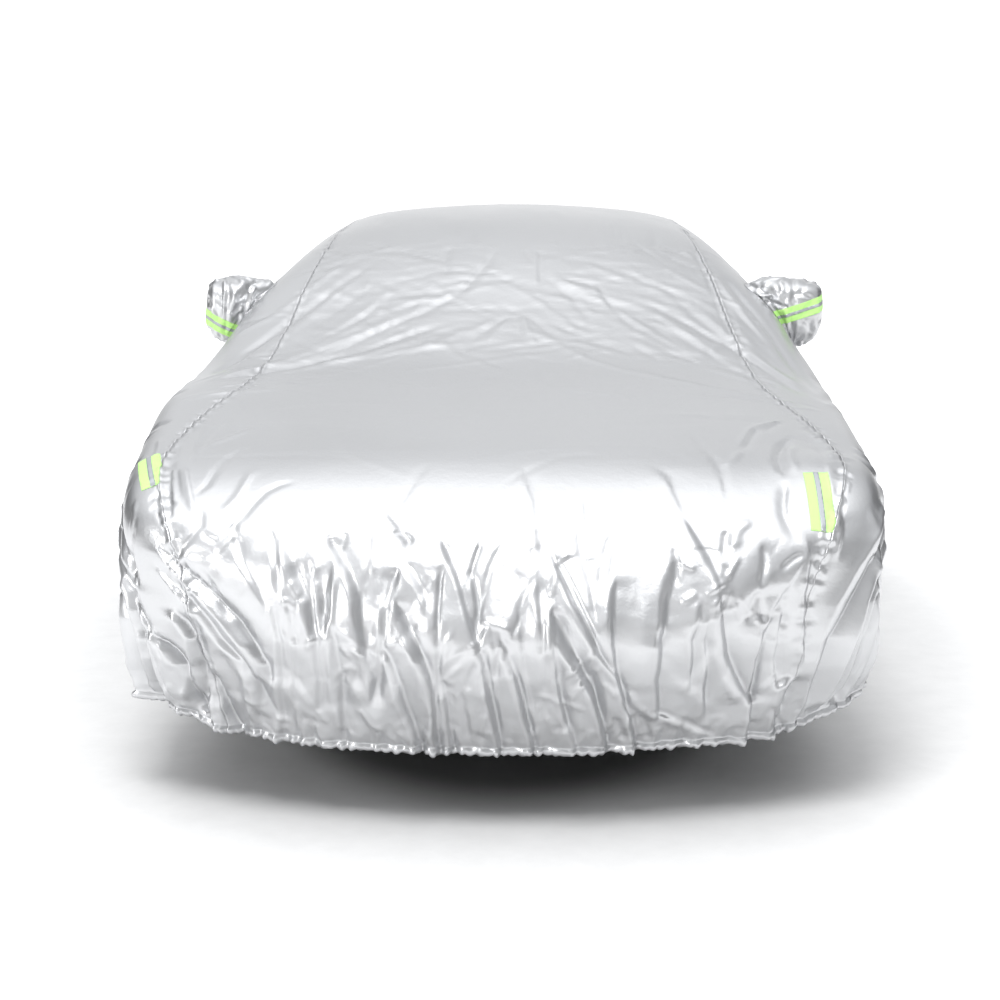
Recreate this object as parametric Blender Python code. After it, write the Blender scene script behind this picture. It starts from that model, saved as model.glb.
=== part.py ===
"""A fitted silver cover for a saloon car, standing in the shape of the car that it is cut for.

The cover is one long top panel, two side panels with a hole for each door mirror, a pocket
round each mirror, and a reflective tape on each front corner and each pocket. The cloth
pieces are thin sheets that lie on one smooth form, pushed out and in by a table of folds.

Places are X across, Y from the front of the car (minus) to its tail (plus), and Z above the
road. At the end the whole cover is lowered, so that its origin is under the middle of the
roof, where the roof of the car holds it up.
"""

import math

import bmesh
import bpy
import numpy as np
from mathutils import Matrix, Vector

# Driving dimensions, in metres.
CLOTH = 0.0025
HEM = 0.005
SEAM_GAP = 0.0007
NECK_GAP = 0.0007
TAPE_GAP = 0.0005
TAPE = 0.001
TAPE_WIDTH = 0.06
STRIPE_WIDTH = 0.013
ROOF_REST_Y = 0.72

# How the rows and columns of the sheets are shared out.
TOP_COLUMNS = 40
SKIRT_STATIONS = 4
SKIRT_ROWS = 8
FRONT_HALF_STATIONS = 6
FRONT_HALF_ROWS = 18
REAR_HALF_ROWS = 12
ALONG_ROWS = FRONT_HALF_ROWS + REAR_HALF_ROWS
SIDE_COLUMNS_PER_ROW = 2
EVENING_ROUNDS = 60

# The form, each outline as rows of (along the first axis, reach along the second).
# Height of the cover over its middle line: y, z.
PROFILE = [
    (-2.60, 0.72), (-2.20, 0.80), (-1.80, 0.885), (-1.40, 0.955), (-1.05, 1.02),
    (-0.75, 1.13), (-0.40, 1.285), (-0.05, 1.395), (0.35, 1.452), (0.80, 1.445),
    (1.20, 1.375), (1.55, 1.255), (1.90, 1.135), (2.20, 1.085), (2.60, 1.06),
]
# Half width of the cover: z, x.
FLANK = [
    (0.10, 0.80), (0.20, 0.865), (0.30, 0.93), (0.45, 0.958), (0.60, 0.96), (0.75, 0.957),
    (0.86, 0.95), (0.95, 0.935), (1.03, 0.90), (1.13, 0.85), (1.25, 0.76), (1.35, 0.675),
    (1.45, 0.57), (1.60, 0.38),
]
# Reach of the nose in front of the middle: z, -y.
NOSE = [
    (0.10, 2.10), (0.20, 2.20), (0.32, 2.275), (0.45, 2.32), (0.60, 2.33), (0.72, 2.305),
    (0.85, 2.24), (1.00, 2.10), (1.60, 1.50),
]
# Reach of the tail behind the middle: z, y.
TAIL = [
    (0.10, 2.08), (0.20, 2.16), (0.32, 2.25), (0.50, 2.32), (0.70, 2.33), (0.90, 2.31),
    (1.05, 2.27), (1.20, 2.20), (1.60, 1.90),
]
# Share of the half width that is left along the car: y, share.
PLAN = [
    (-2.5, 0.92), (-2.2, 0.955), (-1.9, 0.985), (-1.5, 1.0), (-1.0, 1.0), (1.0, 1.0),
    (1.6, 0.985), (2.0, 0.96), (2.3, 0.93), (2.5, 0.90),
]
# Fall of the top towards its sides: y, fall at the crown's half width.
CROWN = [(-2.6, 0.03), (-1.0, 0.03), (0.0, 0.09), (1.2, 0.09), (2.0, 0.04), (2.6, 0.04)]
CROWN_HALF_WIDTH = 0.90
NOSE_BOW = 0.16
TAIL_BOW = 0.12
BOW_HALF_WIDTH = 0.75
EDGE_ROUNDING = 0.035
# How steep each outline stands, which evens out the rounding between them.
TOP_STEEPNESS = 1.08
FLANK_STEEPNESS = 1.10
END_STEEPNESS = 1.05
# Below the first height the skirt is laid onto the form level, above the second squarely.
SKIRT_LEVEL = (0.62, 0.85)

# The seam between the top panel and a side panel from the front hem to the rear one, and
# the middle line of the top panel beside it: seam x, seam y, seam z, middle y, middle z.
STATIONS = [
    (0.67, -2.08, 0.21, -2.20, 0.20),
    (0.71, -2.16, 0.38, -2.30, 0.38),
    (0.73, -2.18, 0.55, -2.33, 0.56),
    (0.77, -2.14, 0.68, -2.30, 0.71),
    (0.82, -2.05, 0.79, -2.18, 0.79),
    (0.84, -1.87, 0.85, -1.98, 0.85),
    (0.80, -1.60, 0.90, -1.67, 0.91),
    (0.73, -1.32, 0.95, -1.34, 0.97),
    (0.70, -1.00, 1.02, -1.00, 1.04),
    (0.67, -0.62, 1.18, -0.62, 1.19),
    (0.63, -0.20, 1.32, -0.22, 1.35),
    (0.60, 0.25, 1.40, 0.25, 1.44),
    (0.60, 0.72, 1.41, 0.72, 1.45),
    (0.63, 1.15, 1.35, 1.15, 1.39),
    (0.69, 1.55, 1.22, 1.55, 1.25),
    (0.75, 1.88, 1.10, 1.88, 1.14),
    (0.79, 2.08, 0.98, 2.14, 1.09),
    (0.77, 2.15, 0.85, 2.31, 0.93),
    (0.75, 2.18, 0.68, 2.33, 0.70),
    (0.72, 2.17, 0.42, 2.29, 0.42),
    (0.67, 2.08, 0.21, 2.17, 0.21),
]
# The hem of a side panel, below each of the seam's stations along the car: x, y, z.
SIDE_HEM = [
    (0.67, -2.08, 0.21), (0.84, -2.04, 0.26), (0.91, -1.78, 0.31), (0.93, -1.45, 0.30),
    (0.93, -1.06, 0.285), (0.93, -0.66, 0.28), (0.93, -0.24, 0.28), (0.93, 0.22, 0.28),
    (0.93, 0.70, 0.28), (0.93, 1.18, 0.28), (0.92, 1.60, 0.29), (0.88, 1.93, 0.28),
    (0.67, 2.08, 0.21),
]
# Soft swellings: place of the middle, reach, height.
SWELLINGS = [
    ((-0.93, -1.35, 0.92), 0.42, 0.024),
    ((-0.90, -2.02, 0.42), 0.22, 0.012),
    ((0.79, -1.96, 0.82), 0.15, 0.014),
    ((-0.76, -2.15, 0.52), 0.10, 0.016),
    ((0.00, -2.31, 0.66), 0.30, 0.006),
    ((0.92, 1.95, 0.70), 0.30, 0.012),
    ((-0.90, 2.00, 0.60), 0.28, 0.014),
]

# Folds that show at the front and on the top: start, middle and end, half width, height.
# A trough has a height below zero.
FOLDS = [
    ((-0.70, -2.17, 0.71), (-0.62, -2.22, 0.56), (-0.52, -2.20, 0.32), 0.034, -0.020),
    ((-0.75, -2.16, 0.65), (-0.65, -2.20, 0.47), (-0.50, -2.12, 0.20), 0.030, 0.012),
    ((-0.54, -2.13, 0.79), (-0.53, -2.23, 0.69), (-0.51, -2.26, 0.56), 0.032, -0.012),
    ((-0.44, -2.24, 0.75), (-0.43, -2.28, 0.55), (-0.45, -2.10, 0.15), 0.036, -0.020),
    ((-0.35, -2.26, 0.74), (-0.30, -2.30, 0.55), (-0.29, -2.15, 0.15), 0.034, -0.018),
    ((-0.38, -2.28, 0.68), (-0.38, -2.29, 0.46), (-0.37, -2.12, 0.15), 0.030, -0.014),
    ((-0.23, -2.31, 0.62), (-0.19, -2.31, 0.46), (-0.13, -2.15, 0.15), 0.036, -0.022),
    ((-0.12, -2.29, 0.73), (-0.07, -2.33, 0.57), (0.02, -2.15, 0.15), 0.034, -0.020),
    ((0.09, -2.30, 0.70), (0.06, -2.33, 0.56), (-0.10, -2.30, 0.38), 0.032, -0.014),
    ((0.01, -2.33, 0.52), (0.05, -2.30, 0.40), (0.12, -2.15, 0.15), 0.032, -0.015),
    ((0.12, -2.30, 0.71), (0.21, -2.32, 0.52), (0.33, -2.25, 0.33), 0.032, -0.020),
    ((0.12, -2.33, 0.58), (0.19, -2.31, 0.43), (0.27, -2.12, 0.15), 0.032, -0.015),
    ((0.26, -2.31, 0.66), (0.26, -2.31, 0.47), (0.33, -2.12, 0.15), 0.034, -0.020),
    ((0.36, -2.26, 0.70), (0.36, -2.29, 0.54), (0.38, -2.18, 0.26), 0.036, -0.020),
    ((0.38, -2.17, 0.79), (0.48, -2.26, 0.60), (0.58, -2.18, 0.30), 0.036, -0.024),
    ((0.52, -1.86, 0.87), (0.55, -2.16, 0.79), (0.52, -2.26, 0.60), 0.034, -0.018),
    ((0.59, -1.97, 0.84), (0.64, -2.18, 0.72), (0.72, -2.16, 0.40), 0.034, -0.020),
    ((0.62, -2.22, 0.60), (0.61, -2.21, 0.44), (0.58, -2.05, 0.15), 0.034, -0.024),
    ((0.24, -2.29, 0.39), (0.40, -2.21, 0.29), (0.58, -2.10, 0.20), 0.028, -0.010),
    ((0.60, -1.84, 0.87), (0.66, -1.68, 0.89), (0.76, -1.58, 0.91), 0.034, -0.014),
    ((0.74, -1.76, 0.88), (0.68, -1.90, 0.85), (0.72, -2.04, 0.81), 0.036, -0.018),
    ((0.72, -1.64, 0.90), (0.84, -1.80, 0.86), (0.81, -2.08, 0.76), 0.030, 0.012),
    ((-0.82, -1.90, 0.85), (-0.80, -2.06, 0.79), (-0.77, -2.13, 0.70), 0.030, -0.016),
    ((-0.66, -2.18, 0.72), (-0.62, -2.10, 0.80), (-0.52, -2.00, 0.84), 0.032, 0.010),
    ((-0.86, -2.11, 0.48), (-0.79, -2.12, 0.37), (-0.72, -2.08, 0.24), 0.034, -0.022),
    ((-0.82, -1.20, 0.96), (-0.49, -1.06, 1.01), (-0.06, -0.78, 1.12), 0.050, 0.009),
    ((-0.80, -1.12, 0.98), (-0.44, -0.97, 1.04), (-0.12, -0.74, 1.13), 0.045, -0.008),
    ((-0.84, -1.03, 0.99), (-0.57, -0.60, 1.18), (-0.43, -0.30, 1.30), 0.055, -0.011),
    ((-0.88, -0.83, 1.04), (-0.62, -0.45, 1.23), (-0.48, -0.16, 1.34), 0.050, 0.009),
    ((0.02, -0.24, 1.34), (-0.19, -0.66, 1.17), (-0.66, -1.14, 0.99), 0.055, -0.012),
    ((-0.03, -0.83, 1.10), (0.33, -1.15, 0.99), (0.68, -1.36, 0.95), 0.045, 0.008),
    ((0.40, -0.62, 1.18), (0.60, -0.84, 1.08), (0.86, -1.40, 0.94), 0.055, -0.012),
    ((0.20, -0.68, 1.16), (0.50, -0.82, 1.10), (0.76, -1.06, 1.00), 0.045, 0.008),
    ((0.62, -0.26, 1.30), (0.74, -0.60, 1.16), (0.89, -1.26, 0.94), 0.050, -0.012),
    ((0.08, -0.34, 1.31), (0.10, -0.56, 1.21), (0.30, -0.70, 1.16), 0.050, -0.010),
]
# Folds that hang down the sides, the same in kind but each side its own: which side, top y,
# top z, bottom y, bottom z, half width, height.
SIDE_FOLDS = [
    (1, -2.08, 0.76, -2.06, 0.12, 0.030, 0.014),
    (1, -2.00, 0.80, -2.02, 0.15, 0.030, -0.020),
    (1, -1.92, 0.78, -1.96, 0.15, 0.032, 0.018),
    (1, -1.78, 0.80, -1.84, 0.15, 0.036, -0.018),
    (1, -1.62, 0.70, -1.70, 0.15, 0.040, 0.014),
    (1, -1.30, 0.72, -1.36, 0.15, 0.060, -0.014),
    (1, -0.86, 0.80, -1.02, 0.15, 0.070, -0.016),
    (1, -0.40, 0.66, -0.46, 0.15, 0.060, 0.012),
    (1, 0.12, 0.78, 0.02, 0.15, 0.070, -0.015),
    (1, 0.62, 0.70, 0.70, 0.15, 0.060, -0.013),
    (1, 1.10, 0.86, 1.06, 0.15, 0.070, 0.012),
    (1, 1.46, 0.74, 1.56, 0.15, 0.060, -0.016),
    (1, 1.86, 0.82, 1.90, 0.15, 0.050, -0.018),
    (-1, -2.06, 0.74, -2.05, 0.12, 0.030, -0.018),
    (-1, -1.97, 0.80, -2.00, 0.15, 0.030, 0.014),
    (-1, -1.86, 0.76, -1.90, 0.15, 0.036, -0.018),
    (-1, -1.66, 0.78, -1.74, 0.15, 0.040, 0.014),
    (-1, -1.40, 0.74, -1.50, 0.15, 0.055, -0.015),
    (-1, -1.00, 0.70, -1.06, 0.15, 0.060, 0.012),
    (-1, -0.62, 0.80, -0.74, 0.15, 0.070, -0.016),
    (-1, -0.10, 0.68, -0.20, 0.15, 0.060, -0.013),
    (-1, 0.40, 0.84, 0.36, 0.15, 0.070, 0.012),
    (-1, 0.86, 0.72, 0.96, 0.15, 0.060, -0.015),
    (-1, 1.36, 0.80, 1.32, 0.15, 0.060, -0.014),
    (-1, 1.76, 0.74, 1.84, 0.15, 0.050, -0.018),
]
# Folds of the skirt across the tail: top x, top z, bottom x, bottom z, half width, height.
TAIL_FOLDS = [
    (-0.66, 0.90, -0.60, 0.12, 0.045, -0.018),
    (-0.48, 0.74, -0.52, 0.12, 0.040, -0.014),
    (-0.30, 0.92, -0.38, 0.12, 0.050, -0.018),
    (-0.12, 0.70, -0.10, 0.12, 0.040, 0.012),
    (0.08, 0.86, 0.02, 0.12, 0.045, -0.018),
    (0.26, 0.66, 0.34, 0.12, 0.040, -0.014),
    (0.46, 0.90, 0.44, 0.12, 0.050, -0.017),
    (0.62, 0.78, 0.58, 0.12, 0.040, -0.016),
]
FOLD_STEPS = 6
FOLD_TAPER = 0.28
# Small gathers where the elastic draws the hem in: how far in and out, and how high they run.
GATHER = 0.006
GATHER_ROWS = 2

# The hole for each mirror: y, z, half length, half height. The neck of its pocket fits it,
# from inside the cover to just outside it.
MIRROR_HOLE = (-0.40, 1.105, 0.080, 0.088)
NECK_REACH = (-0.012, 0.006)
# The pocket as rings from the neck out: way out from the wall, y, z, half depth, half
# height, and how far the ring has left the slant of the wall (0 to 1).
POCKET_RINGS = [
    (0.022, -0.402, 1.108, 0.098, 0.106, 0.1),
    (0.050, -0.405, 1.112, 0.108, 0.115, 0.35),
    (0.085, -0.408, 1.115, 0.108, 0.113, 0.65),
    (0.120, -0.410, 1.118, 0.100, 0.104, 0.85),
    (0.148, -0.410, 1.120, 0.082, 0.086, 1.0),
    (0.164, -0.410, 1.122, 0.052, 0.056, 1.0),
]
POCKET_SIDES = 24
POCKET_SQUARENESS = 2.6
POCKET_STRETCH = {1: 1.0, -1: 0.88}
POCKET_PINCHES = [(0.6, 0.35, 0.007), (2.1, 0.5, -0.008), (3.6, 0.4, 0.006), (5.1, 0.45, -0.007)]

# The tapes: which side, the middle, the way along it, its length.
CORNER_TAPES = [
    (1, (0.765, -2.075, 0.785), (0.00, -0.62, -0.60), 0.185),
    (-1, (-0.835, -1.965, 0.82), (0.25, -0.80, -0.30), 0.170),
]
# Tape across a pocket: which side, middle, rise over its run.
POCKET_TAPES = [(1, (0.97, -0.51, 1.115), 0.24), (-1, (-0.95, -0.51, 1.075), -0.50)]
POCKET_TAPE_WIDTH = 0.048
POCKET_STRIPE_WIDTH = 0.010


def smooth_table(rows):
    """A smooth function through a table of two columns."""
    table = np.array(rows, dtype=float)
    place, value = table[:, 0], table[:, 1]
    slope = np.gradient(value, place)

    def read(query):
        query = np.clip(query, place[0], place[-1])
        index = np.clip(np.searchsorted(place, query, side="right") - 1, 0, len(place) - 2)
        step = place[index + 1] - place[index]
        s = (query - place[index]) / step
        start = (1 + 2 * s) * (1 - s) ** 2 * value[index] + s * (1 - s) ** 2 * step * slope[index]
        end = s * s * (3 - 2 * s) * value[index + 1] + s * s * (s - 1) * step * slope[index + 1]
        return start + end

    return read


def smooth_path(points, steps):
    """Points read from a smooth curve through points, at fractional indices."""
    points = np.array(points, dtype=float)
    index = np.arange(len(points))
    columns = [smooth_table(np.stack([index, points[:, i]], 1))(steps) for i in range(3)]
    return np.stack(columns, -1)


def ease(value, low, high):
    """0 below low, 1 above high, and a smooth step between."""
    share = np.clip((value - low) / (high - low), 0.0, 1.0)
    return share * share * (3 - 2 * share)


profile_at, flank_at, nose_at, tail_at, plan_at, crown_at = map(
    smooth_table, (PROFILE, FLANK, NOSE, TAIL, PLAN, CROWN))


def form(points):
    """About how far each point lies outside the smooth form, less than 0 inside."""
    x, y, z = points[..., 0], points[..., 1], points[..., 2]
    over = z - profile_at(y) + crown_at(y) * (x / CROWN_HALF_WIDTH) ** 2
    beside = np.abs(x) - flank_at(z) * plan_at(y)
    ahead = -y - nose_at(z) + NOSE_BOW * (x / BOW_HALF_WIDTH) ** 2
    behind = y - tail_at(z) + TAIL_BOW * (x / BOW_HALF_WIDTH) ** 2
    reach = np.stack([
        over / TOP_STEEPNESS,
        beside / FLANK_STEEPNESS,
        ahead / END_STEEPNESS,
        behind / END_STEEPNESS,
    ])
    most = reach.max(0)
    rounding = np.log(np.exp((reach - most) / EDGE_ROUNDING).sum(0))
    return most + EDGE_ROUNDING * rounding


def slope_of_form(points):
    slope = np.zeros_like(points)
    probe = 0.001
    for axis in range(3):
        shift = np.zeros(3)
        shift[axis] = probe
        slope[..., axis] = (form(points + shift) - form(points - shift)) / (2 * probe)
    return slope


def normal_to_form(points):
    slope = slope_of_form(points)
    return slope / np.linalg.norm(slope, axis=-1, keepdims=True)


def lay(points, rounds=14):
    """Move points onto the form: level on the skirt, squarely above it."""
    points = np.array(points, dtype=float)
    for _ in range(rounds):
        slope = slope_of_form(points)
        way = slope.copy()
        way[..., 2] *= ease(points[..., 2], *SKIRT_LEVEL)
        length = np.maximum((way * slope).sum(-1), 0.05)
        points -= (form(points) / length)[..., None] * way
    return points


def fold_paths():
    """Every fold as a path on the form, with its half width and height."""
    paths = []
    for start, middle, end, half_width, height in FOLDS:
        paths.append(((start, middle, end), half_width, height))
    for side, top_y, top_z, low_y, low_z, half_width, height in SIDE_FOLDS:
        ends = [(side * 0.93, y, z) for y, z in ((top_y, top_z), (low_y, low_z))]
        middle = tuple((a + b) / 2 for a, b in zip(*ends))
        paths.append(((ends[0], middle, ends[1]), half_width, height))
    for top_x, top_z, low_x, low_z, half_width, height in TAIL_FOLDS:
        ends = [(x, 2.25, z) for x, z in ((top_x, top_z), (low_x, low_z))]
        middle = tuple((a + b) / 2 for a, b in zip(*ends))
        paths.append(((ends[0], middle, ends[1]), half_width, height))
    steps = np.linspace(0, 2, FOLD_STEPS + 1)
    return [(lay(smooth_path(places, steps)), width, height) for places, width, height in paths]


def fold_height(points, paths):
    """How far the folds and swellings push each point of the form out."""
    flat = points.reshape(-1, 3)
    total = np.zeros(len(flat))
    for middle, reach, height in SWELLINGS:
        gap = np.linalg.norm(flat - np.array(middle), axis=1)
        total += height * np.exp(-((gap / reach) ** 2) * 2)
    for path, half_width, height in paths:
        nearest = np.full(len(flat), np.inf)
        along = np.zeros(len(flat))
        for k, (a, b) in enumerate(zip(path[:-1], path[1:])):
            run = b - a
            share = np.clip((flat - a) @ run / (run @ run), 0, 1)
            gap = np.linalg.norm(flat - a - share[:, None] * run, axis=1)
            closer = gap < nearest
            nearest[closer] = gap[closer]
            along[closer] = (k + share[closer]) / FOLD_STEPS
        fade = ease(along, 0, FOLD_TAPER) * ease(1 - along, 0, FOLD_TAPER)
        total += height * fade * np.exp(-((nearest / half_width) ** 2))
    return total.reshape(points.shape[:-1])


FOLD_PATHS = fold_paths()


class Sheet:
    """A grid of places on the form, with how the cloth stands there."""

    def __init__(self, base):
        self.normal = normal_to_form(base)
        self.outer = base + self.normal * fold_height(base, FOLD_PATHS)[..., None]

    def inner(self, thickness):
        return self.outer - self.normal * thickness


def seam_samples():
    """Station indices of the top panel's rows, from the front hem to the rear one."""
    last = len(STATIONS) - 1
    middle = SKIRT_STATIONS + FRONT_HALF_STATIONS
    front = np.linspace(0, SKIRT_STATIONS, SKIRT_ROWS + 1)
    front_half = np.linspace(SKIRT_STATIONS, middle, FRONT_HALF_ROWS + 1)
    rear_half = np.linspace(middle, last - SKIRT_STATIONS, REAR_HALF_ROWS + 1)
    rear = np.linspace(last - SKIRT_STATIONS, last, SKIRT_ROWS + 1)
    return np.concatenate([front, front_half[1:], rear_half[1:], rear[1:]])


def seam_line(side):
    places = [(side * row[0], row[1], row[2]) for row in STATIONS]
    return lay(smooth_path(places, seam_samples()))


def draw_in(border, inward, along, distance):
    """Shift a border into its own sheet, square to the border's run."""
    inward = inward - (inward * along).sum(-1, keepdims=True) * along
    inward /= np.linalg.norm(inward, axis=-1, keepdims=True)
    return border + inward * distance


def run_of(border):
    run = np.gradient(border, axis=0)
    return run / np.linalg.norm(run, axis=-1, keepdims=True)


def even_rows(base):
    """Space the rows of a grid evenly up the form, with its edges held."""
    for _ in range(EVENING_ROUNDS):
        base[1:-1, 1:-1] = (base[:-2, 1:-1] + base[2:, 1:-1]) / 2
        base[1:-1, 1:-1] = lay(base[1:-1, 1:-1], rounds=2)
    return base


def gather(sheet, thickness, hem_row, inward):
    """Thicken a hem and pucker the rows next to it, by turns out and in, more and less."""
    index = np.arange(sheet.outer.shape[1])
    wave = np.where(index % 2 == 0, 1.0, -1.0) * (0.65 + 0.35 * np.sin(1.7 * index))
    wave[[0, -1]] = 0.0
    for step in range(GATHER_ROWS):
        row = hem_row + step * inward
        push = (wave * GATHER * (1 - step / GATHER_ROWS))[:, None]
        sheet.outer[row] += sheet.normal[row] * push
    thickness[hem_row, 1:-1] = HEM


def top_panel_sheet():
    """The top panel: rows from the front hem to the rear one, columns from left to right."""
    left, right = seam_line(-1), seam_line(1)
    middle = lay(smooth_path([(0, row[3], row[4]) for row in STATIONS], seam_samples()))
    s = np.linspace(-1, 1, TOP_COLUMNS + 1)[None, :, None]
    base = (left[:, None] * s * (s - 1) + right[:, None] * s * (s + 1)) / 2
    base = lay(base + middle[:, None] * (1 - s * s))
    base[:, 0], base[:, -1] = left, right
    sheet = Sheet(base)
    thickness = np.full(base.shape[:2], CLOTH)
    gather(sheet, thickness, 0, 1)
    gather(sheet, thickness, -1, -1)
    outer, inner = sheet.outer.copy(), sheet.inner(thickness[..., None])
    for grid in (outer, inner):
        for edge, beside in ((0, 1), (-1, -2)):
            border = grid[:, edge].copy()
            grid[:, edge] = draw_in(border, grid[:, beside] - border, run_of(border), SEAM_GAP / 2)
    return outer, inner, sheet.normal


def side_panel_sheet(side):
    """A side panel: rows from the hem up to the seam, columns from front to rear."""
    seam = Sheet(seam_line(side))
    top = slice(SKIRT_ROWS, SKIRT_ROWS + ALONG_ROWS + 1)
    per_row = SIDE_COLUMNS_PER_ROW
    count = ALONG_ROWS * per_row + 1
    share = np.linspace(0, 1, count)
    rise = np.linspace(0, 1, SKIRT_ROWS + 1)
    hem_places = [(side * x, y, z) for x, y, z in SIDE_HEM]
    stations = seam_samples()[top] - SKIRT_STATIONS
    hem = lay(smooth_path(hem_places, np.interp(share, share[::per_row], stations)))
    seam_base = seam_line(side)
    upper = np.stack([np.interp(share, share[::per_row], seam_base[top, i]) for i in range(3)], -1)
    front = seam_base[:SKIRT_ROWS + 1]
    rear = seam_base[:-SKIRT_ROWS - 2:-1]
    u, v = share[None, :, None], rise[:, None, None]
    base = (1 - v) * hem[None] + v * upper[None]
    front_pull = np.clip(1 - u * 5, 0, 1) ** 2
    rear_pull = np.clip(1 - (1 - u) * 5, 0, 1) ** 2
    base = base + front_pull * (front - base[:, 0])[:, None] + rear_pull * (rear - base[:, -1])[:, None]
    sheet = Sheet(even_rows(lay(base)))
    thickness = np.full(base.shape[:2], CLOTH)
    gather(sheet, thickness, 0, 1)
    outer, inner = sheet.outer.copy(), sheet.inner(thickness[..., None])
    for grid, line in ((outer, seam.outer), (inner, seam.inner(CLOTH))):
        for i in range(3):
            grid[-1, :, i] = np.interp(share, share[::per_row], line[top, i])
        grid[:, 0] = line[:SKIRT_ROWS + 1]
        grid[:, -1] = line[:-SKIRT_ROWS - 2:-1]
        original = grid.copy()
        for column, beside in ((0, 1), (-1, -2)):
            border = original[:, column]
            inward = original[:, beside] - border
            grid[:, column] = draw_in(border, inward, run_of(border), SEAM_GAP / 2)
        border = original[-1, ::per_row]
        moved = draw_in(border, original[-2, ::per_row] - border, run_of(border), SEAM_GAP / 2)
        for end, column, beside in ((0, 0, 1), (-1, -1, -2)):
            corner = original[-1, column]
            inward = original[-2, beside] - corner
            moved[end] = corner + inward / np.linalg.norm(inward) * SEAM_GAP
        for i in range(3):
            grid[-1, :, i] = np.interp(share, share[::per_row], moved[:, i])
    return outer, inner, sheet.normal


def grid_faces(rows, columns, offset, turned):
    """Two triangles for each cell of a grid, all cut along the same diagonal."""
    faces = []
    for i in range(rows - 1):
        for j in range(columns - 1):
            a = offset + i * columns + j
            b, c, d = a + 1, a + columns + 1, a + columns
            for face in ((a, b, c), (a, c, d)):
                faces.append(face[::-1] if turned else face)
    return faces


def sheet_mesh(name, outer, inner, turned):
    """A closed sheet between two grids of points, walled round its edge."""
    rows, columns = outer.shape[:2]
    size = rows * columns
    faces = grid_faces(rows, columns, 0, turned) + grid_faces(rows, columns, size, not turned)
    rim = [(0, j) for j in range(columns - 1)] + [(i, columns - 1) for i in range(rows - 1)]
    rim += [(rows - 1, j) for j in range(columns - 1, 0, -1)] + [(i, 0) for i in range(rows - 1, 0, -1)]
    ring = [i * columns + j for i, j in rim]
    for a, b in zip(ring, ring[1:] + ring[:1]):
        for face in ((b, a, a + size), (b, a + size, b + size)):
            faces.append(face[::-1] if turned else face)
    mesh = bpy.data.meshes.new(name)
    mesh.from_pydata(np.concatenate([outer.reshape(-1, 3), inner.reshape(-1, 3)]).tolist(), [], faces)
    mesh.update()
    mesh.shade_smooth()
    mesh.set_sharp_from_angle(angle=math.radians(50))
    return mesh


def add_object(name, mesh, material):
    thing = bpy.data.objects.new(name, mesh)
    bpy.context.collection.objects.link(thing)
    if material:
        mesh.materials.append(material)
    thing.parent = COVER
    return thing


def add_material(name, color, roughness, metallic):
    material = bpy.data.materials.new(name)
    material.use_nodes = True
    shader = material.node_tree.nodes["Principled BSDF"]
    shader.inputs["Base Color"].default_value = (*color, 1.0)
    shader.inputs["Roughness"].default_value = roughness
    shader.inputs["Metallic"].default_value = metallic
    return material


def add_cutter(name, mesh):
    cutter = add_object(name, mesh, None)
    cutter.hide_render = True
    cutter.display_type = "WIRE"
    return cutter


def cut(thing, cutter, operation):
    boolean = thing.modifiers.new(operation.title(), "BOOLEAN")
    boolean.operation = operation
    boolean.solver = "EXACT"
    boolean.object = cutter


def mirror_hole_cutter(side):
    """An oval bar through the side of the cover where the mirror stands out."""
    y, z, half_length, half_height = MIRROR_HOLE
    shape = bmesh.new()
    bmesh.ops.create_cone(
        shape, cap_ends=True, segments=POCKET_SIDES, radius1=1.0, radius2=1.0, depth=1.0)
    turn = Matrix.Rotation(math.pi / 2, 4, "Y")
    stretch = Matrix.Diagonal((0.6, half_length, half_height, 1.0))
    place = Matrix.Translation((side * 0.90, y, z))
    bmesh.ops.transform(shape, matrix=place @ stretch @ turn, verts=shape.verts)
    mesh = bpy.data.meshes.new("mirror_hole")
    shape.to_mesh(mesh)
    shape.free()
    return mesh


def wall_reach(side, y, z):
    """How far out the side of the cover stands at a height."""
    x = side * flank_at(z) * plan_at(y)
    for _ in range(20):
        point = np.stack([x, y, z], -1)
        slope = slope_of_form(point)
        x = x - form(point) / np.where(np.abs(slope[..., 0]) < 0.05, side * 0.05, slope[..., 0])
    return np.abs(x + normal_to_form(np.stack([x, y, z], -1))[..., 0]
                  * fold_height(np.stack([x, y, z], -1), FOLD_PATHS))


def pocket_rings(side):
    """A mirror pocket: rings from inside its hole to its closed end, first point in front."""
    angle = np.linspace(0, 2 * math.pi, POCKET_SIDES + 1)[:-1]
    across, up = -np.cos(angle), np.sin(angle)
    hole_y, hole_z, hole_length, hole_height = MIRROR_HOLE
    neck = wall_reach(side, hole_y + hole_length * across, hole_z + hole_height * up)
    flat = neck.mean()
    stretch = POCKET_STRETCH[side]
    neck_size = (hole_length - NECK_GAP, hole_height - NECK_GAP)
    neck_rings = [(out / stretch, hole_y, hole_z, *neck_size, 0.0) for out in NECK_REACH]
    grid = []
    for out, y, z, half_depth, half_height, leave in neck_rings + POCKET_RINGS:
        power = 2 / (2 + (POCKET_SQUARENESS - 2) * leave)
        ring_y = y + half_depth * np.sign(across) * np.abs(across) ** power
        ring_z = z + half_height * np.sign(up) * np.abs(up) ** power
        reach = neck * (1 - leave) + flat * leave + out * stretch
        grid.append(np.stack([side * reach, ring_y, ring_z], -1))
    return np.array(grid), angle


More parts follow.
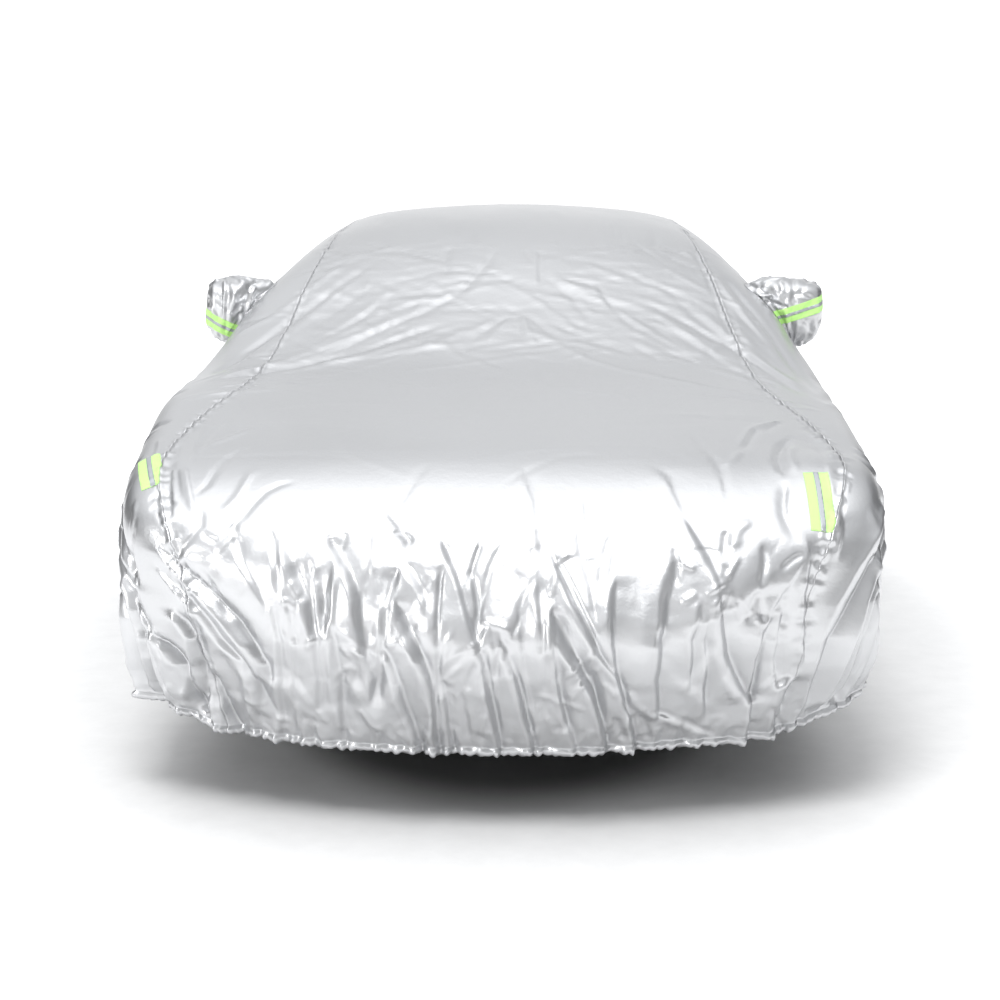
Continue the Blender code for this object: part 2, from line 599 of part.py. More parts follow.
def pocket_skin(side):
    """The outer skin of a pocket with its pinches, and the way out of it at each point."""
    grid, angle = pocket_rings(side)
    rings = len(grid)
    centre = grid.mean(1, keepdims=True)
    radial = grid - centre
    radial[..., 0] = 0
    radial /= np.linalg.norm(radial, axis=-1, keepdims=True)
    for place, width, height in POCKET_PINCHES:
        off = (angle - place + math.pi) % (2 * math.pi) - math.pi
        pinch = height * np.exp(-((off / width) ** 2))
        for ring in range(3, rings - 1):
            grid[ring] += radial[ring] * pinch[:, None]
    run = np.gradient(grid, axis=0)
    turn = np.roll(grid, -1, axis=1) - np.roll(grid, 1, axis=1)
    normal = np.cross(turn, run)
    normal /= np.linalg.norm(normal, axis=-1, keepdims=True)
    if (normal * radial).sum() < 0:
        normal = -normal
    return grid, normal


def pocket_solid(name, side):
    """The pocket's sack: an outer and an inner skin, open at the neck."""
    grid, normal = pocket_skin(side)
    rings, count = grid.shape[:2]
    inner = grid - normal * CLOTH
    tip = grid[-1].mean(0) + np.array([side * 0.006, 0, 0])
    inner_tip = tip - np.array([side * CLOTH, 0, 0])
    points = np.concatenate([grid.reshape(-1, 3), inner.reshape(-1, 3), [tip, inner_tip]])
    size = rings * count
    faces = []
    for i in range(rings - 1):
        for j in range(count):
            a, b = i * count + j, i * count + (j + 1) % count
            c, d = b + count, a + count
            faces += [(a, b, c), (a, c, d)]
            faces += [(c + size, b + size, a + size), (d + size, c + size, a + size)]
    for j in range(count):
        a, b = j, (j + 1) % count
        faces += [(b, a, a + size), (b, a + size, b + size)]
        c, d = (rings - 1) * count + a, (rings - 1) * count + b
        faces += [(c, d, 2 * size), (d + size, c + size, 2 * size + 1)]
    mesh = bpy.data.meshes.new(name)
    mesh.from_pydata(points.tolist(), [], faces)
    shape = bmesh.new()
    shape.from_mesh(mesh)
    bmesh.ops.recalc_face_normals(shape, faces=shape.faces)
    shape.to_mesh(mesh)
    shape.free()
    mesh.shade_smooth()
    mesh.set_sharp_from_angle(angle=math.radians(50))
    return mesh


def block_mesh(name, centre, along, out, size):
    """A block along a direction, its thin way square to a surface."""
    out = Vector(out).normalized()
    along = Vector(along)
    along = (along - out * along.dot(out)).normalized()
    across = along.cross(out)
    shape = bmesh.new()
    bmesh.ops.create_cube(shape, size=1.0)
    turn = Matrix((across, along, out)).transposed().to_4x4()
    place = Matrix.Translation(centre) @ turn @ Matrix.Diagonal((*size, 1.0))
    bmesh.ops.transform(shape, matrix=place, verts=shape.verts)
    mesh = bpy.data.meshes.new(name)
    shape.to_mesh(mesh)
    shape.free()
    return mesh


def window(grid, centre, reach):
    """The rows and columns of a grid that come near a place."""
    near = np.linalg.norm(grid - np.array(centre), axis=-1) < reach
    rows, columns = np.where(near.any(1))[0], np.where(near.any(0))[0]
    return slice(rows[0], rows[-1] + 1), slice(columns[0], columns[-1] + 1)


def add_tape(name, stripe_name, grid, normal, turned, centre, along, size, stripe_size):
    """A tape and the silver stripe on it, each cut from a skin that lies on its cloth."""
    centre = np.array(centre)
    rows, columns = window(grid, centre, 0.6 * size[1] + 0.08)
    patch, out = grid[rows, columns], normal[rows, columns]
    middle = out.reshape(-1, 3)[np.linalg.norm(patch - centre, axis=-1).argmin()]
    lift = TAPE_GAP
    for piece, dims, material in (
            (name, size, GLOW), (stripe_name, stripe_size, SILVER_STRIPE)):
        skin = sheet_mesh(piece, patch + out * (lift + TAPE), patch + out * lift, turned)
        skin_object = add_object(piece, skin, material)
        block = add_cutter(piece + "_outline", block_mesh(piece, centre, along, middle, dims))
        cut(skin_object, block, "INTERSECT")
        lift += TAPE + TAPE_GAP


for old in list(bpy.data.objects):
    bpy.data.objects.remove(old, do_unlink=True)

ROOF_REST = np.array([0.0, ROOF_REST_Y, 0.0])
ROOF_REST[2] = profile_at(ROOF_REST_Y) - CLOTH
COVER = bpy.data.objects.new("cover", None)
COVER.location = -Vector(ROOF_REST)
bpy.context.collection.objects.link(COVER)

SILVER = add_material("silver_cloth", (0.78, 0.80, 0.82), 0.38, 0.85)
GLOW = add_material("yellow_green_tape", (0.62, 0.92, 0.22), 0.45, 0.0)
SILVER_STRIPE = add_material("silver_stripe", (0.60, 0.63, 0.66), 0.30, 0.6)

top_outer, top_inner, top_normal = top_panel_sheet()
add_object("top_panel", sheet_mesh("top_panel", top_outer, top_inner, False), SILVER)

for side, word in ((1, "right"), (-1, "left")):
    outer, inner, normal = side_panel_sheet(side)
    panel = add_object(
        "side_panel_" + word, sheet_mesh("side_panel_" + word, outer, inner, side < 0), SILVER)
    cut(panel, add_cutter("mirror_hole_" + word, mirror_hole_cutter(side)), "DIFFERENCE")
    pocket_name = "mirror_pocket_" + word
    add_object(pocket_name, pocket_solid(pocket_name, side), SILVER)

for (side, centre, along, length), word in zip(CORNER_TAPES, ("right", "left")):
    add_tape(
        "corner_tape_" + word, "corner_stripe_" + word, top_outer, top_normal, False, centre, along,
        (TAPE_WIDTH, length, 0.14), (STRIPE_WIDTH, length, 0.14))

for (side, centre, rise), word in zip(POCKET_TAPES, ("right", "left")):
    grid, normal = pocket_skin(side)
    grid = np.roll(grid, POCKET_SIDES // 4, axis=1)[2:, :POCKET_SIDES // 2 + 1]
    normal = np.roll(normal, POCKET_SIDES // 4, axis=1)[2:, :POCKET_SIDES // 2 + 1]
    add_tape(
        "pocket_tape_" + word, "pocket_stripe_" + word, grid, normal, side > 0, centre,
        (1.0, 0.0, rise), (POCKET_TAPE_WIDTH, 0.30, 0.10), (POCKET_STRIPE_WIDTH, 0.30, 0.10))
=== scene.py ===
import math

import bmesh
import bpy
import numpy as np
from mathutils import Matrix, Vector
from mathutils.bvhtree import BVHTree


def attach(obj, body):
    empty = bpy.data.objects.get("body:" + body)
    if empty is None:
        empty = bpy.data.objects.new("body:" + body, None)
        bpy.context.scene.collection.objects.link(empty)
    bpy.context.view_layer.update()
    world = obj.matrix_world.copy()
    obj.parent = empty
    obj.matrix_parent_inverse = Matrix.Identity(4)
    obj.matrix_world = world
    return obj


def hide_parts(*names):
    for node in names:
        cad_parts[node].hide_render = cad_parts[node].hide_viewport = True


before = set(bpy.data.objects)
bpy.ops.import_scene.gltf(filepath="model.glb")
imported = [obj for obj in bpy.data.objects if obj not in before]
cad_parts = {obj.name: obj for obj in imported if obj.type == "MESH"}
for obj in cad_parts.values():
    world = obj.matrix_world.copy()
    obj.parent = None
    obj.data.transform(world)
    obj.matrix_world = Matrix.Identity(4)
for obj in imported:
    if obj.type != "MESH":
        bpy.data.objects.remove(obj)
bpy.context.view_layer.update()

# The form that the cover stands in. Places are X across, Y from front (minus) to tail, and Z
# above the road; at the end all is moved by ROOF_REST, as the solids are.
CLOTH = 0.0025
ROOF_REST_Y = 0.72
PROFILE = [
    (-2.60, 0.00), (-2.40, 0.36), (-2.30, 0.54), (-2.22, 0.66), (-2.14, 0.745), (-2.06, 0.803),
    (-1.98, 0.842), (-1.90, 0.866), (-1.80, 0.886), (-1.40, 0.955), (-1.05, 1.02),
    (-0.75, 1.13), (-0.40, 1.285), (-0.05, 1.395), (0.35, 1.452), (0.80, 1.445),
    (1.20, 1.375), (1.55, 1.255), (1.90, 1.135), (2.20, 1.085), (2.60, 1.06),
]
FLANK = [
    (0.10, 0.80), (0.20, 0.865), (0.30, 0.93), (0.45, 0.958), (0.60, 0.96), (0.75, 0.957),
    (0.86, 0.95), (0.95, 0.935), (1.03, 0.90), (1.13, 0.85), (1.25, 0.76), (1.35, 0.675),
    (1.45, 0.57), (1.60, 0.38),
]
NOSE = [
    (0.10, 2.10), (0.20, 2.20), (0.32, 2.275), (0.45, 2.32), (0.60, 2.33), (0.72, 2.33),
    (0.85, 2.30), (1.00, 2.26), (1.60, 2.10),
]
TAIL = [
    (0.10, 2.08), (0.20, 2.16), (0.32, 2.25), (0.50, 2.32), (0.70, 2.33), (0.90, 2.31),
    (1.05, 2.27), (1.20, 2.20), (1.60, 1.90),
]
PLAN = [
    (-2.5, 0.92), (-2.2, 0.955), (-1.9, 0.985), (-1.5, 1.0), (-1.0, 1.0), (1.0, 1.0),
    (1.6, 0.985), (2.0, 0.96), (2.3, 0.93), (2.5, 0.90),
]
CROWN = [(-2.6, 0.03), (-1.0, 0.03), (0.0, 0.09), (1.2, 0.09), (2.0, 0.04), (2.6, 0.04)]
CROWN_HALF_WIDTH = 0.90
NOSE_BOW = 0.16
TAIL_BOW = 0.12
BOW_HALF_WIDTH = 0.75
EDGE_ROUNDING = 0.035
HOOD_EDGE_ROUNDING = 0.03
TOP_STEEPNESS = 1.08
FLANK_STEEPNESS = 1.10
END_STEEPNESS = 1.05
SKIRT_LEVEL = (0.62, 0.85)
# Seam x, y, z and the middle line's y, z, from the front hem to the rear one.
STATIONS = [
    (0.67, -2.08, 0.21, -2.20, 0.20), (0.71, -2.16, 0.38, -2.30, 0.38),
    (0.73, -2.18, 0.55, -2.33, 0.56), (0.77, -2.14, 0.68, -2.30, 0.71),
    (0.82, -2.05, 0.79, -2.18, 0.79), (0.84, -1.87, 0.85, -1.98, 0.85),
    (0.80, -1.60, 0.90, -1.67, 0.91), (0.73, -1.32, 0.95, -1.34, 0.97),
    (0.70, -1.00, 1.02, -1.00, 1.04), (0.67, -0.62, 1.18, -0.62, 1.19),
    (0.63, -0.20, 1.32, -0.22, 1.35), (0.60, 0.25, 1.40, 0.25, 1.44),
    (0.60, 0.72, 1.41, 0.72, 1.45), (0.63, 1.15, 1.35, 1.15, 1.39),
    (0.69, 1.55, 1.22, 1.55, 1.25), (0.75, 1.88, 1.10, 1.88, 1.14),
    (0.79, 2.08, 0.98, 2.14, 1.09), (0.77, 2.15, 0.85, 2.31, 0.93),
    (0.75, 2.18, 0.68, 2.33, 0.70), (0.72, 2.17, 0.42, 2.29, 0.42),
    (0.67, 2.08, 0.21, 2.17, 0.21),
]
SIDE_HEM = [
    (0.67, -2.08, 0.21), (0.84, -2.04, 0.26), (0.91, -1.78, 0.31), (0.93, -1.45, 0.30),
    (0.93, -1.06, 0.285), (0.93, -0.66, 0.28), (0.93, -0.24, 0.28), (0.93, 0.22, 0.28),
    (0.93, 0.70, 0.28), (0.93, 1.18, 0.28), (0.92, 1.60, 0.29), (0.88, 1.93, 0.28),
    (0.67, 2.08, 0.21),
]
SWELLINGS = [
    ((-0.93, -1.35, 0.92), 0.42, 0.024), ((-0.93, -1.98, 0.46), 0.34, -0.012),
    ((0.79, -1.96, 0.82), 0.15, 0.014), ((-0.76, -2.15, 0.52), 0.10, 0.010),
    ((-0.72, -2.10, 0.24), 0.20, -0.022), ((0.80, -2.06, 0.27), 0.18, -0.016),
    ((0.00, -2.31, 0.66), 0.30, 0.006), ((0.92, 1.95, 0.70), 0.30, 0.012),
    ((-0.90, 2.00, 0.60), 0.28, 0.014),
]
# Folds down the sides: which side, top y, top z, bottom y, bottom z, half width, height.
SIDE_FOLDS = [
    (1, -1.62, 0.70, -1.70, 0.15, 0.040, 0.014), (1, -1.30, 0.72, -1.36, 0.15, 0.060, -0.014),
    (1, -0.86, 0.80, -1.02, 0.15, 0.070, -0.016), (1, -0.40, 0.66, -0.46, 0.15, 0.060, 0.012),
    (1, 0.12, 0.78, 0.02, 0.15, 0.070, -0.015), (1, 0.62, 0.70, 0.70, 0.15, 0.060, -0.013),
    (1, 1.10, 0.86, 1.06, 0.15, 0.070, 0.012), (1, 1.46, 0.74, 1.56, 0.15, 0.060, -0.016),
    (1, 1.86, 0.82, 1.90, 0.15, 0.050, -0.018),
    (-1, -1.66, 0.78, -1.74, 0.15, 0.040, 0.014), (-1, -1.40, 0.74, -1.50, 0.15, 0.055, -0.015),
    (-1, -1.00, 0.70, -1.06, 0.15, 0.060, 0.012), (-1, -0.62, 0.80, -0.74, 0.15, 0.070, -0.016),
    (-1, -0.10, 0.68, -0.20, 0.15, 0.060, -0.013), (-1, 0.40, 0.84, 0.36, 0.15, 0.070, 0.012),
    (-1, 0.86, 0.72, 0.96, 0.15, 0.060, -0.015), (-1, 1.36, 0.80, 1.32, 0.15, 0.060, -0.014),
    (-1, 1.76, 0.74, 1.84, 0.15, 0.050, -0.018),
]
# Folds down the tail: top x, top z, bottom x, bottom z, half width, height.
TAIL_FOLDS = [
    (-0.66, 0.90, -0.60, 0.12, 0.045, -0.018), (-0.48, 0.74, -0.52, 0.12, 0.040, -0.014),
    (-0.30, 0.92, -0.38, 0.12, 0.050, -0.018), (-0.12, 0.70, -0.10, 0.12, 0.040, 0.012),
    (0.08, 0.86, 0.02, 0.12, 0.045, -0.018), (0.26, 0.66, 0.34, 0.12, 0.040, -0.014),
    (0.46, 0.90, 0.44, 0.12, 0.050, -0.017), (0.62, 0.78, 0.58, 0.12, 0.040, -0.016),
]

# Creases of the cloth in millimetres: half width, height (below 0 for a trough), lean (from
# -1, steeper on the left, to 1, steeper on the right; 0 is drawn on top) and then the places
# that the crease runs through, as x, z on the front and x, y, z on top.
FRONT_CREASES = [
    (10, -3, 0, -740, 638, -706, 589, -675, 532, -648, 470),
    (8.5, -3.75, 0, -740, 612, -771, 587, -804, 562),
    (8.5, -2.25, 0, -761, 663, -724, 662, -683, 659),
    (9, -3, 0, -706, 778, -693, 742, -663, 714),
    (10, 2.25, 0, -618, 767, -650, 708, -668, 660),
    (9, -5.25, 0, -544, 803, -526, 705, -510, 570),
    (9, 3.75, 0, -671, 308, -634, 298, -593, 295),
    (8.5, 2.25, 0, -659, 347, -632, 339, -610, 324),
    (10, 4.5, 0, -647, 241, -606, 205, -564, 176),
    (8.5, 3.75, 0, -506, 564, -489, 567, -470, 552),
    (8.5, 3, 0, -486, 612, -471, 596, -460, 574),
    (8.5, -3.75, 0, -489, 544, -483, 500, -478, 464),
    (9, -4.5, 0, -445, 666, -433, 599, -429, 480),
    (10, 6, 0.3, -374, 670, -384, 555, -394, 457, -406, 300),
    (9, -3, 0, -360, 778, -362, 724, -370, 679),
    (10, 5.25, 0, -501, 314, -512, 253, -526, 193),
    (9, 5.25, 0, -446, 297, -436, 274, -423, 257),
    (9, -6, 0, -462, 283, -468, 246, -483, 192),
    (9, -4.5, 0, -494, 280, -489, 237, -487, 198),
    (8.5, 3, 0, -449, 458, -436, 472, -424, 488),
    (9, 3, 0, -293, 785, -287, 716, -292, 617),
    (8.5, 4.5, 0, -353, 470, -321, 457, -296, 436, -283, 400),
    (8.5, 3.75, 0, -360, 472, -345, 451, -328, 447),
    (8.5, 3, 0, -361, 406, -339, 413, -320, 411),
    (8.5, 4.5, 0, -349, 288, -329, 298, -310, 267, -282, 248),
    (12, -5.25, 0, -251, 770, -219, 745, -201, 706),
    (10, -5.25, 0, -219, 682, -241, 608, -253, 557, -262, 465, -273, 361),
    (8.5, 3.75, 0, -259, 487, -246, 473, -222, 494),
    (8.5, 4.5, 0.4, -154, 291, -165, 252, -177, 207),
    (9, -6.75, 0.5, -105, 648, -127, 636, -134, 589, -138, 458),
    (8.5, -4.5, 0, -37, 721, -55, 657, -70, 612),
    (8.5, -3.75, 0, -59, 635, -45, 583, -48, 496),
    (8.5, -3.75, 0, 17, 726, -3, 679, -25, 613, -46, 515),
    (8.5, 5.25, 0, -37, 539, -16, 528, 9, 523, 31, 511),
    (8.5, 4.5, -0.3, -18, 523, -28, 496, -35, 457),
    (8.5, 3.75, 0, -21, 513, -60, 459, -102, 408, -128, 386),
    (8.5, 3.75, 0, -130, 397, -114, 387, -93, 384),
    (8.5, 3.75, 0, -98, 517, -112, 478, -127, 397),
    (8.5, -4.5, 0, -44, 442, -61, 398, -68, 364),
    (11, -7.5, -0.3, -35, 460, -20, 370, 2, 225),
    (8.5, -3.75, 0, 15, 482, 2, 435, -6, 391),
    (9, -6, 0.4, 88, 626, 56, 561, 34, 494),
    (10, -6, 0, 92, 608, 102, 532, 100, 447),
    (8.5, 4.5, 0, 126, 583, 120, 520, 118, 435),
    (8.5, 4.5, 0, 84, 346, 112, 353, 146, 336, 181, 327, 219, 309),
    (8.5, 3, 0, 100, 332, 96, 301, 91, 265),
    (8.5, 3, 0, 119, 303, 131, 268, 138, 231),
    (10, -7.5, 0.3, 117, 696, 144, 648, 178, 582, 213, 511, 237, 454, 274, 410, 311, 358),
    (8.5, 3.75, 0, 137, 642, 131, 613, 124, 581),
    (8.5, 2.25, 0, 144, 664, 162, 679, 187, 689),
    (9, -3, 0, 83, 711, 81, 658, 79, 631),
    (8.5, -2.25, 0, 91, 796, 101, 752, 103, 679),
    (11, -6.75, 0, 43, 427, 63, 343, 84, 232),
    (10, -5.25, 0, 141, 459, 153, 369, 176, 239),
    (10, -6, 0, -84, 369, -77, 299, -70, 218),
    (9, 4.5, 0, -25, 309, -35, 280, -43, 241),
    (9, -3.75, 0, 195, 839, 190, 761, 196, 678, 212, 611, 234, 508),
    (8.5, -3, 0, 277, 795, 258, 719, 244, 646, 237, 588),
    (8.5, 5.25, 0, 232, 465, 202, 445, 178, 423, 143, 398),
    (8.5, 4.5, 0, 227, 457, 214, 425, 240, 416),
    (11, -9, -0.4, 224, 412, 239, 339, 269, 213),
    (8.5, 3.75, 0, 219, 391, 192, 379, 170, 339),
    (8.5, 3.75, 0, 238, 388, 264, 368, 283, 343),
    (9, 5.25, 0, 311, 363, 333, 323, 363, 299),
    (8.5, 4.5, 0, 308, 363, 321, 335, 321, 278, 318, 232),
    (9, 5.25, 0.2, 334, 309, 382, 286, 432, 264, 487, 240, 538, 219, 590, 199),
    (8.5, -4.5, 0, 369, 307, 430, 285, 480, 263, 536, 235, 583, 213),
    (11, -7.5, 0, 348, 300, 370, 254, 397, 203),
    (10, -6.75, 0, 280, 292, 305, 255, 324, 209),
    (9, 4.5, 0, 425, 667, 437, 651, 462, 643),
    (8.5, -2.25, 0, 449, 692, 486, 694, 524, 684),
    (8.5, 4.5, 0, 538, 613, 510, 604, 482, 587),
    (8.5, 4.5, 0, 566, 679, 552, 649, 535, 614),
    (8.5, 3, 0, 514, 667, 528, 657, 547, 647),
    (12, -5.25, 0, 542, 798, 534, 731, 528, 661),
    (14, 4.5, 0, 601, 847, 566, 789, 552, 698),
    (9, -5.25, 0, 623, 722, 629, 655, 627, 591),
    (10, -4.5, 0, 627, 591, 613, 554, 607, 509),
    (8.5, 4.5, 0, 614, 528, 634, 519, 651, 508),
    (8.5, -6.75, 0, 634, 586, 649, 493, 661, 334),
    (9, 5.25, 0, 662, 322, 691, 353, 719, 379),
    (10, 4.5, 0, 426, 569, 447, 580, 465, 592),
    (8.5, -3.75, 0, 409, 715, 418, 660, 421, 599),
    (8.5, 3, 0, 167, 689, 144, 666, 135, 648),
    (8.5, -2.25, 0, 203, 658, 221, 660, 237, 660),
    (8.5, -4.5, 0, 512, 349, 518, 306, 520, 246),
    (8.5, -4.5, 0, 566, 344, 577, 323, 593, 313),
    (8.5, -3.75, 0, 675, 631, 702, 659, 732, 677),
    (10, -4.5, 0, 698, 562, 710, 522, 716, 487),
]
TOP_CREASES = [
    (8.5, -2.4, 0, 478, -1726, 893, 509, -1867, 864, 537, -1985, 837, 542, -2127, 798),
    (8.5, -5.4, 0.4, 604, -1858, 863, 630, -1759, 882, 662, -1665, 898),
    (8.5, 3, 0, 541, -1965, 842, 572, -1930, 849, 598, -1865, 862),
    (7.15, -3, 0, 675, -1705, 890, 703, -1651, 899, 728, -1613, 904),
    (11.2, -8.4, 0, 742, -1744, 880, 705, -1810, 869, 680, -1924, 846, 691, -2009, 825),
    (8.95, 3.6, 0, 743, -1805, 868, 716, -1893, 851, 720, -1993, 827),
    (13, -6.6, 0, 689, -2020, 822, 677, -2133, 769, 705, -2171, 688),
    (9.4, 5.4, 0, 766, -1684, 890, 808, -1724, 880, 826, -1839, 856, 826, -1947, 830),
    (7.15, -3, 0, 772, -1815, 865, 799, -1866, 852, 800, -1954, 831),
    (8.05, 3, 0, 819, -1833, 858, 794, -1999, 819, 802, -2073, 778),
    (7.15, -2.4, 0, 719, -1739, 882, 760, -1757, 877, 794, -1803, 866),
    (9.4, 4.2, 0, 604, -1836, 867, 646, -1692, 894, 685, -1645, 901, 747, -1592, 907),
    (10.3, 3.6, 0, -751, -1881, 852, -743, -1819, 866, -696, -1764, 878, -644, -1688, 894),
    (9.4, -4.2, 0, -738, -2080, 792, -710, -2038, 814, -686, -1936, 843, -634, -1831, 868),
    (9.4, 3.6, 0, -667, -2145, 761, -627, -2099, 801, -597, -1971, 838),
    (9.85, -4.8, 0, -661, -2189, 685, -616, -2169, 753, -584, -2115, 799, -549, -2060, 819, -491,
        -2042, 826),
    (8.5, -3.6, 0, -716, -2109, 778, -707, -2154, 726, -750, -2158, 667, -795, -2149, 592),
    (9.4, 4.2, 0, -777, -1943, 836, -737, -2089, 786, -725, -2130, 753),
    (10.3, -6, 0, -824, -1868, 850, -796, -2056, 793, -780, -2122, 727),
    (8.05, -3, 0, -826, -1759, 872, -800, -1938, 835, -760, -2094, 775),
    (7.6, 2.4, 0, -774, -1689, 889, -774, -1814, 865, -758, -1976, 829),
    (7.6, -2.4, 0, -728, -1653, 897, -752, -1741, 880, -755, -1860, 856),
    (8.05, 3, 0, -884, -1729, 868, -868, -1830, 851, -864, -1945, 824),
    (15.7, 3.6, 0, -929, -1294, 924, -823, -1198, 965, -699, -1103, 990, -492, -1057, 1010, -240,
        -975, 1041, -64, -780, 1118),
    (10.3, 1.8, 0, -885, -1466, 913, -809, -1429, 931, -734, -1385, 943),
    (10.3, -1.8, 0, -810, -1020, 1003, -621, -975, 1029, -540, -976, 1032),
    (14.8, -3, 0, -804, -1140, 976, -635, -1093, 995, -439, -992, 1031, -269, -852, 1086, -119,
        -792, 1112),
    (12.1, -2.4, 0, -883, -680, 1071, -784, -699, 1111, -709, -668, 1134),
    (17.5, -4.8, 0, -837, -1033, 995, -705, -809, 1082, -574, -595, 1177, -433, -370, 1280),
    (15.7, 4.2, 0, -905, -826, 1021, -750, -713, 1112, -619, -486, 1220, -520, -333, 1285),
    (17.5, -4.8, 0, -38, -283, 1327, -98, -478, 1252, -187, -662, 1166, -336, -783, 1111, -475,
        -939, 1047, -661, -1118, 989),
    (10.3, 1.8, 0, -510, -753, 1115, -372, -713, 1137, -282, -657, 1165, -125, -640, 1177),
    (10.3, 1.8, 0, -573, -608, 1172, -413, -609, 1181, -320, -568, 1205),
    (10.3, 1.8, 0, -374, -275, 1317, -276, -235, 1336, -141, -212, 1349),
    (10.3, 1.8, 0, -393, -455, 1251, -232, -414, 1275, -100, -422, 1276),
    (13, -2.4, 0, 96, -325, 1312, 97, -478, 1252, 100, -604, 1194),
    (13, 3, 0, 113, -464, 1258, 193, -569, 1209, 286, -655, 1166, 433, -838, 1086, 569, -1035,
        1013),
    (13, 3, 0, -25, -826, 1099, 97, -890, 1074, 172, -975, 1042, 329, -1146, 994, 548, -1282, 966,
        653, -1343, 953),
    (10.3, 2.4, 0, 245, -813, 1102, 341, -859, 1081, 447, -864, 1076),
    (12.1, 3, 0, 253, -720, 1139, 407, -761, 1117, 554, -859, 1072, 723, -977, 1023),
    (12.1, -3, 0, 497, -310, 1295, 622, -406, 1250, 669, -430, 1235),
    (12.1, -3, 0, 470, -190, 1335, 628, -332, 1273, 686, -422, 1234),
    (16.6, -4.8, 0, 413, -644, 1166, 587, -821, 1085, 744, -1051, 1000, 841, -1383, 936),
    (12.1, 3, 0, 441, -704, 1138, 579, -925, 1048, 679, -1106, 991, 748, -1250, 963),
    (15.7, -4.8, 0, 673, -384, 1249, 734, -589, 1163, 803, -811, 1069, 882, -1298, 940),
    (10.3, 2.4, 0, 419, -518, 1222, 545, -565, 1193, 638, -594, 1172),
    (9.4, -1.5, 0, -171, -1954, 852, -231, -2140, 809, -279, -2264, 737),
    (8.95, -1.5, 0, 3, -2083, 825, 50, -2020, 839, 123, -1952, 853, 172, -1917, 860, 270, -1926,
        857),
    (8.05, -1.2, 0, 84, -2019, 839, 98, -2233, 780, 110, -2292, 722),
    (7.6, -1.2, 0, 6, -2195, 796, -16, -2250, 771, -33, -2282, 742),
]

